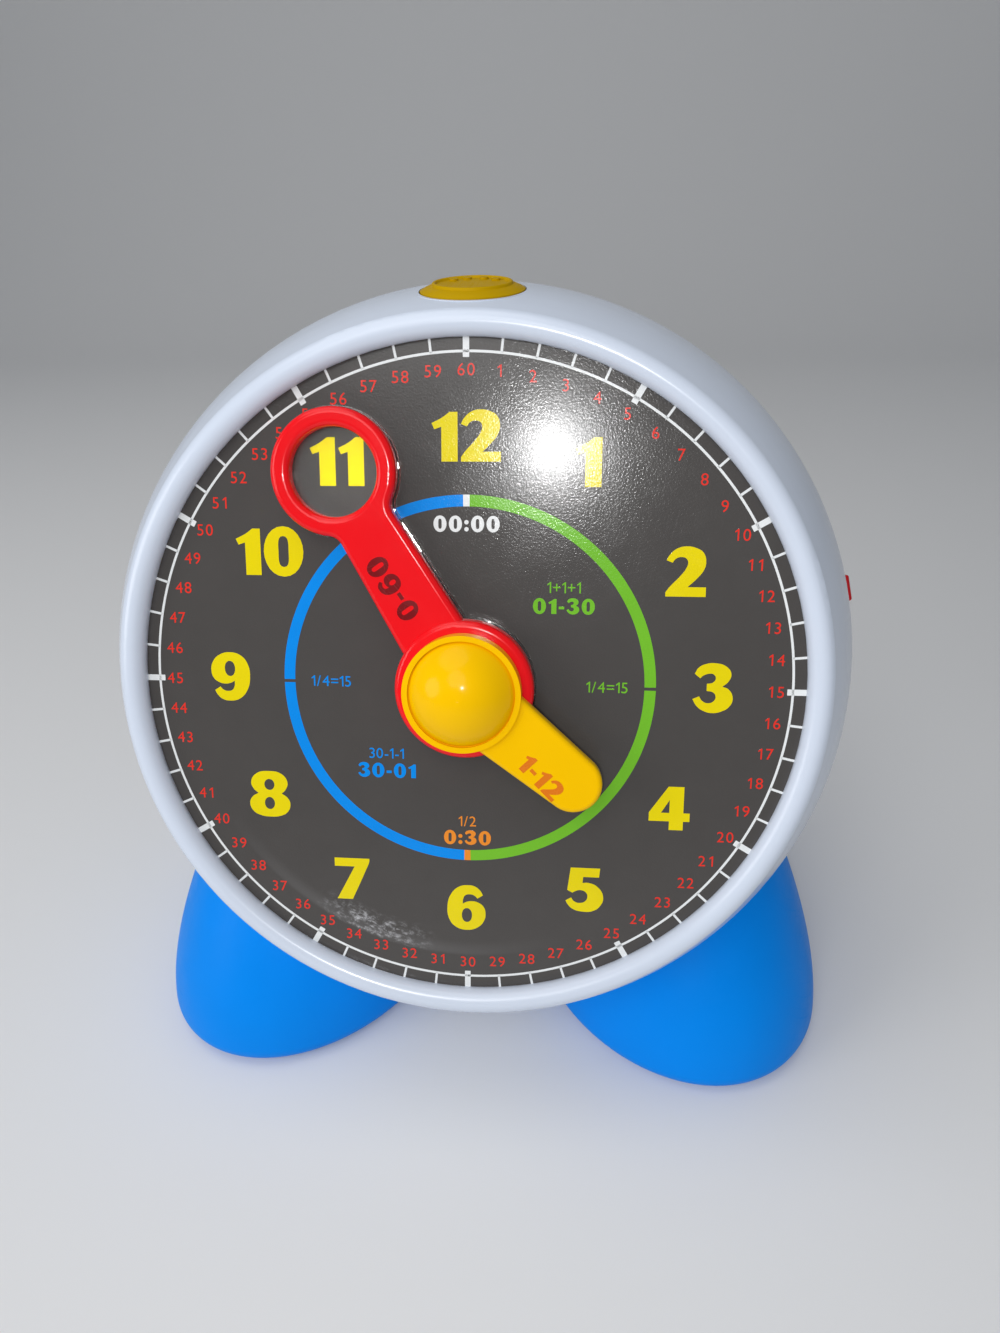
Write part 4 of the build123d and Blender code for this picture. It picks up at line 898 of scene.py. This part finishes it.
def drawn(name, outlines):
    """A flat mesh from closed outlines. An outline inside another one becomes a hole."""
    curve = bpy.data.curves.new(name, "CURVE")
    curve.dimensions = "2D"
    curve.fill_mode = "BOTH"
    curve.resolution_u = 6
    for outline in outlines:
        spline = curve.splines.new("BEZIER")
        spline.bezier_points.add(len(outline) - 1)
        spline.use_cyclic_u = True
        for knot, point in zip(spline.bezier_points, outline):
            knot.co = (point[0], point[1], 0.0)
            kind = "VECTOR" if len(point) == 3 else "AUTO"
            knot.handle_left_type = kind
            knot.handle_right_type = kind
    piece = bpy.data.objects.new(name, curve)
    bpy.context.collection.objects.link(piece)
    return as_mesh(piece)


def width_of(piece):
    across = [vertex.co.x for vertex in piece.data.vertices]
    return min(across), max(across)


bold_digits = {}
for sign, outlines in hour_outlines.items():
    bold_digits[sign] = drawn("bold_" + str(len(bold_digits)), outlines)
print("drew", len(bold_digits), "bold signs")


# %% [markdown]
# ## Setting the hours
# A number is set from copies of its digits, side by side with a small gap, and centred on its place.

# %% Set the hours
def set_number(text, digits, cap, at, gap, advance=None):
    """Copies of the digits of a number, as one flat piece, centred on a spot of the dial."""
    size = cap / cap_height
    pieces = []
    reach = 0.0
    for sign in text:
        low, high = width_of(digits[sign])
        if advance is not None:
            middle = (low + high) / 2
            low, high = middle - advance / 2, middle + advance / 2
        piece = copy_of(digits[sign])
        piece.data.transform(Matrix.Translation((reach - low, 0.0, 0.0)))
        pieces.append(piece)
        reach += high - low + gap
    whole = joined("number_" + str(len(bpy.data.objects)), pieces)
    centred = Matrix.Translation((-(reach - gap) / 2, -cap_height / 2, 0.0))
    whole.data.transform(Matrix.Translation((at[0], at[1], 0.0)) @ Matrix.Scale(size, 4) @ centred)
    return whole


hour_places = {
    "12": (0.0, 75.6), "1": (36.5, 68.3), "2": (66.4, 36.0), "3": (76.0, 0.4), "4": (64.4, -38.5),
    "5": (38.3, -67.4), "6": (-0.4, -75.9), "7": (-38.5, -67.0), "8": (-65.4, -38.7), "9": (-76.4, 0.4),
    "10": (-61.7, 40.8), "11": (-39.3, 68.3),
}
hour_gap = 1.0
hours = [set_number(text, bold_digits, cap_height, spot, hour_gap) for text, spot in hour_places.items()]
hour_figures = print_flat(joined("hour_figures", hours), inks["yellow"])
print("hour figures with", len(hour_figures.data.polygons), "faces")

# %% [markdown]
# ## The minute figures
# Round the edge stand the minutes from 1 to 60, small, thin and red. The built-in font does for these.
# Only its one is a bare bar, so a one with a flag is drawn instead. Each digit is made once and copied
# into place.

# %% Minute digits
def typed(sign):
    text = add_piece(bpy.ops.object.text_add)
    text.data.body = sign
    text.data.size = 20.0
    text.data.resolution_u = 4
    return as_mesh(text)


thin_digits = {sign: typed(sign) for sign in "023456789+-/="}
tallest = max(vertex.co.y for vertex in thin_digits["0"].data.vertices)
for piece in thin_digits.values():
    piece.data.transform(Matrix.Scale(cap_height / tallest, 4))
thin_digits["1"] = drawn(
    "thin_1",
    [[(0.8, 0, 1), (2.7, 0, 1), (2.7, 14.4, 1), (1.4, 14.4, 1), (-2.2, 11.6, 1), (-2.2, 9.7, 1),
      (0.8, 11.6, 1)]],
)
print("thin digits", sorted(thin_digits))

# %% [markdown]
# ## Setting the minutes
# The sixty figures stand upright on one circle. Every digit takes the same width, as on the real print, so
# the numbers of two digits are all equally wide.

# %% Set the minutes
figure_radius = 94.9
figure_cap = 3.5
figure_gap = 1.2
figure_advance = 10.8
minutes = []
for minute in range(1, 61):
    turn = math.radians(minute_angle * minute)
    spot = (figure_radius * math.sin(turn), figure_radius * math.cos(turn))
    minutes.append(set_number(str(minute), thin_digits, figure_cap, spot, figure_gap, figure_advance))
minute_figures = print_flat(joined("minute_figures", minutes), inks["red"])
print("minute figures with", len(minute_figures.data.polygons), "faces")

# %% [markdown]
# ## Labels inside the ring
# Short labels in the colours of the ring help to read the minutes: on the hour, up to half an hour past
# it, and down again to the next one. Plain numbers and signs say this in any language.

# %% Labels
bold = (bold_digits, 4.6)
thin = (thin_digits, 3.4)
letter_gap = 2.2
labels = {
    "white": [("00:00", bold, (0.0, 49.9))],
    "green": [("01-30", bold, (29.9, 25.2)), ("1+1+1", thin, (29.9, 31.0)), ("1/4=15", thin, (43.7, 0.2))],
    "blue": [("30-01", bold, (-26.1, -29.0)), ("30-1-1", thin, (-26.1, -23.2)),
             ("1/4=15", thin, (-43.5, 0.2))],
    "orange": [("0:30", bold, (0.0, -51.0)), ("1/2", thin, (0.0, -45.3))],
}
for ink, lines in labels.items():
    flats = [set_number(text, *face, spot, letter_gap) for text, face, spot in lines]
    print_flat(joined("label_" + ink, flats), inks[ink])
print("labels", sorted(labels))

# %% [markdown]
# ## Marks on the hands
# Each hand carries a small mark in a deeper shade of its own colour: what it counts, 0 to 60 on the minute
# hand and 1 to 12 on the hour hand. They are set along the arm, and they ride on the hand's body, so they
# turn with it.

# %% Marks on the hands
mark_gap = 1.6
mark_roughness = 0.22
mark_red = plastic("mark_deep_red", (120, 4, 12), mark_roughness)
mark_orange = plastic("mark_orange", (226, 120, 20), mark_roughness)
minute_spot = (-21.3, 30.9)
minute_lift = height_over_dial("minute_hand", minute_spot)
minute_mark = joined("minute_mark", [set_number("0-60", bold_digits, 6.4, (0.0, 0.0), mark_gap)])
print_flat(minute_mark, mark_red, "minute", minute_lift, minute_spot, 124.5)
hour_spot = (24.2, -25.2)
hour_lift = height_over_dial("hour_hand", hour_spot)
hour_mark = joined("hour_mark", [set_number("1-12", bold_digits, 6.0, (0.0, 0.0), mark_gap)])
print_flat(hour_mark, mark_orange, "hour", hour_lift, hour_spot, -46.0)
for pattern in [*bold_digits.values(), *thin_digits.values()]:
    bpy.data.objects.remove(pattern)
print("hand marks", minute_mark.name, hour_mark.name)


# %% [markdown]
# ## Screws with a cross recess
# Ten screws can be seen from behind and from below. Five hold the two shells together, one holds the
# battery door and four hold the plates under the feet. In the solid model they are plain pins with a flat
# head. A screw starts as the cylinder of its head. The shank grows out of the head's underside by inset
# and extrude, the rim is rounded with a bevel, and two tapered bars are cut out of the head with Boolean
# modifiers. A recess can also be made with inset and extrude, but a cutter keeps its walls straight on a
# rounded head.

# %% Screw helpers
def screw_places(node, outward):
    """For each screw of a node, the middle of its head's face, and its whole length in millimetres."""
    side = outward.orthogonal().normalized()
    other = outward.cross(side)
    whole = copy_of(frame["nodes"][node])
    merge_doubles(whole, 0.01 * mm)
    bpy.ops.object.mode_set(mode="EDIT")
    bpy.ops.mesh.separate(type="LOOSE")
    bpy.ops.object.mode_set(mode="OBJECT")
    places = []
    for loose in list(bpy.context.selected_objects):
        reach = [[vertex.co.dot(way) for vertex in loose.data.vertices] for way in (outward, side, other)]
        middles = [(min(values) + max(values)) / 2 for values in reach]
        head = outward * max(reach[0]) + side * middles[1] + other * middles[2]
        places.append((head, (max(reach[0]) - min(reach[0])) / mm))
        bpy.data.objects.remove(loose)
    return places


def select_faces(piece, wanted):
    """Leaves the piece in edit mode with only the wanted faces selected."""
    select_only(piece)
    bpy.ops.object.mode_set(mode="EDIT")
    bpy.ops.mesh.select_mode(type="FACE")
    bpy.ops.mesh.select_all(action="DESELECT")
    bpy.ops.object.mode_set(mode="OBJECT")
    for face in piece.data.polygons:
        face.select = wanted(face)
    bpy.ops.object.mode_set(mode="EDIT")


def cross_screw(length):
    """One screw in millimetres, its head's face upwards at the origin."""
    head_radius = 3.0
    head_height = 2.0
    shank_radius = 1.4
    point = 1.2
    shank = length - head_height - point
    point_share = 0.25
    rim_bevel = 0.8
    recess_size = (3.6, 0.85, 2.6, 1.0)
    recess_taper = 0.5
    head = {"vertices": 32, "radius": head_radius, "depth": head_height}
    screw = add_piece(bpy.ops.mesh.primitive_cylinder_add, **head)
    screw.data.transform(Matrix.Translation((0.0, 0.0, -head_height / 2)))
    select_faces(screw, lambda face: face.normal.z < -0.9)
    bpy.ops.mesh.inset(thickness=head_radius - shank_radius)
    bpy.ops.mesh.extrude_region_move(TRANSFORM_OT_translate={"value": (0.0, 0.0, -shank)})
    bpy.ops.mesh.extrude_region_move(TRANSFORM_OT_translate={"value": (0.0, 0.0, -point)})
    bpy.ops.transform.resize(value=(point_share, point_share, 1.0))
    bpy.ops.object.mode_set(mode="OBJECT")
    select_faces(screw, lambda face: face.normal.z > 0.9)
    bpy.ops.mesh.bevel(affect="EDGES", offset=rim_bevel, segments=4)
    bpy.ops.object.mode_set(mode="OBJECT")
    for turn in (0.0, 90.0):
        bar = add_piece(bpy.ops.mesh.primitive_cube_add, size=1.0)
        bar.data.transform(Matrix.Rotation(math.radians(turn), 4, "Z") @ Matrix.Diagonal(recess_size))
        select_faces(bar, lambda face: face.normal.z < -0.9)
        bpy.ops.transform.resize(value=(recess_taper, recess_taper, 1.0))
        bpy.ops.object.mode_set(mode="OBJECT")
        recess = screw.modifiers.new("recess", "BOOLEAN")
        recess.operation = "DIFFERENCE"
        recess.object = bar
        select_only(screw)
        bpy.ops.object.modifier_apply(modifier=recess.name)
        bpy.data.objects.remove(bar)
    bpy.ops.object.shade_smooth_by_angle(angle=math.radians(30.0))
    return screw


print("helpers", screw_places.__name__, select_faces.__name__, cross_screw.__name__)

# %% [markdown]
# ## Setting the screws
# Where the screws go is read from the solids: a copy of the node is taken apart, and each loose piece is a
# place. One screw of the right length is modelled for each node and copied to its places.

# %% Screws
downwards = Vector((0.0, 0.0, -1.0))
screw_ways = {"case_screws": -dial_out, "door_screw": -dial_out, "base_screws": downwards}
for node, outward in screw_ways.items():
    places = screw_places(node, outward)
    pattern = cross_screw(places[0][1])
    upright = outward.to_track_quat("Z", "Y").to_matrix().to_4x4()
    screws = []
    for head, length in places:
        screw = copy_of(pattern)
        screw.data.transform(Matrix.Translation(head) @ upright @ Matrix.Scale(mm, 4))
        screws.append(screw)
    bpy.data.objects.remove(pattern)
    whole = joined(node + "_cross", screws)
    whole.data.materials.clear()
    whole.data.materials.append(finishes["steel"])
    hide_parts(node)
    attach(whole, "case")
    print(node, "as", len(places), "screws of", round(places[0][1], 2), "mm")

# %% [markdown]
# ## A sloping rim on the clear layer
# In the solid model the clear layer has sharp edges, and a sharp edge has nothing to glint with. On the
# real layer the front falls away a little at its rim, and this slope catches the lamp as a bright line
# beside the red hand. A copy of the solid is merged and freed of the lines inside its flat faces. Then its
# front is inset and raised by a hair, which leaves a narrow slope all round. A bevel would be rounder, but
# too little of it faces the lamp.

# %% Clear layer
rim_width = 0.4 * mm
rim_slope = math.radians(8.4)
clear_layer = bpy.data.objects.new("minute_lens_sloped", frame["nodes"]["minute_lens"].data.copy())
bpy.context.collection.objects.link(clear_layer)
merge_doubles(clear_layer, 0.005 * mm)
bpy.ops.object.mode_set(mode="EDIT")
bpy.ops.mesh.select_all(action="SELECT")
bpy.ops.mesh.dissolve_limited(angle_limit=math.radians(0.5))
bpy.ops.object.mode_set(mode="OBJECT")
lens_front = max(vertex.co.dot(dial_out) for vertex in clear_layer.data.vertices)
select_faces(clear_layer, lambda face: face.center.dot(dial_out) > lens_front - 0.01 * mm)
bpy.ops.mesh.inset(thickness=rim_width, depth=rim_width * math.tan(rim_slope))
bpy.ops.object.mode_set(mode="OBJECT")
bpy.ops.object.shade_smooth_by_angle(angle=0.9 * rim_slope)
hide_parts("minute_lens")
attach(clear_layer, "minute")
print("clear layer with", len(clear_layer.data.polygons), "faces")

# %% [markdown]
# ## The spring under the button
# A coil of steel wire pushes the button up again. In the solid model it is a plain sleeve of the same
# outline. The coil starts as a circle, the section of the wire. A Screw modifier carries it round the axis
# up at the same time, which Spin alone can't do. Its two open ends are filled, so that the wire is a
# closed solid.

# %% Button spring
low, high = (Vector(corner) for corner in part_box("button_spring"))
sleeve = high - low
wire_radius = 0.38 * mm
coil_radius = sleeve.x / 2 - wire_radius
coil_turns = 6
climb = sleeve.z - 2 * wire_radius
coil = add_piece(bpy.ops.mesh.primitive_circle_add, vertices=10, radius=wire_radius)
coil.name = "button_spring_coil"
standing = Matrix.Rotation(math.radians(90.0), 4, "X")
coil.data.transform(Matrix.Translation((coil_radius, 0.0, 0.0)) @ standing)
winding = coil.modifiers.new("winding", "SCREW")
winding.screw_offset = climb / coil_turns
winding.iterations = coil_turns
winding.steps = 36
winding.render_steps = 36
bpy.ops.object.modifier_apply(modifier=winding.name)
bpy.ops.object.mode_set(mode="EDIT")
bpy.ops.mesh.select_all(action="SELECT")
bpy.ops.mesh.fill_holes(sides=0)
bpy.ops.mesh.normals_make_consistent(inside=False)
bpy.ops.object.mode_set(mode="OBJECT")
bpy.ops.object.shade_smooth_by_angle(angle=math.radians(60.0))
foot = Vector(((low.x + high.x) / 2, (low.y + high.y) / 2, low.z))
coil.data.transform(Matrix.Translation(foot + Vector((0.0, 0.0, wire_radius))))
coil.data.materials.append(finishes["steel"])
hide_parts("button_spring")
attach(coil, "case")
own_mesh(coil)
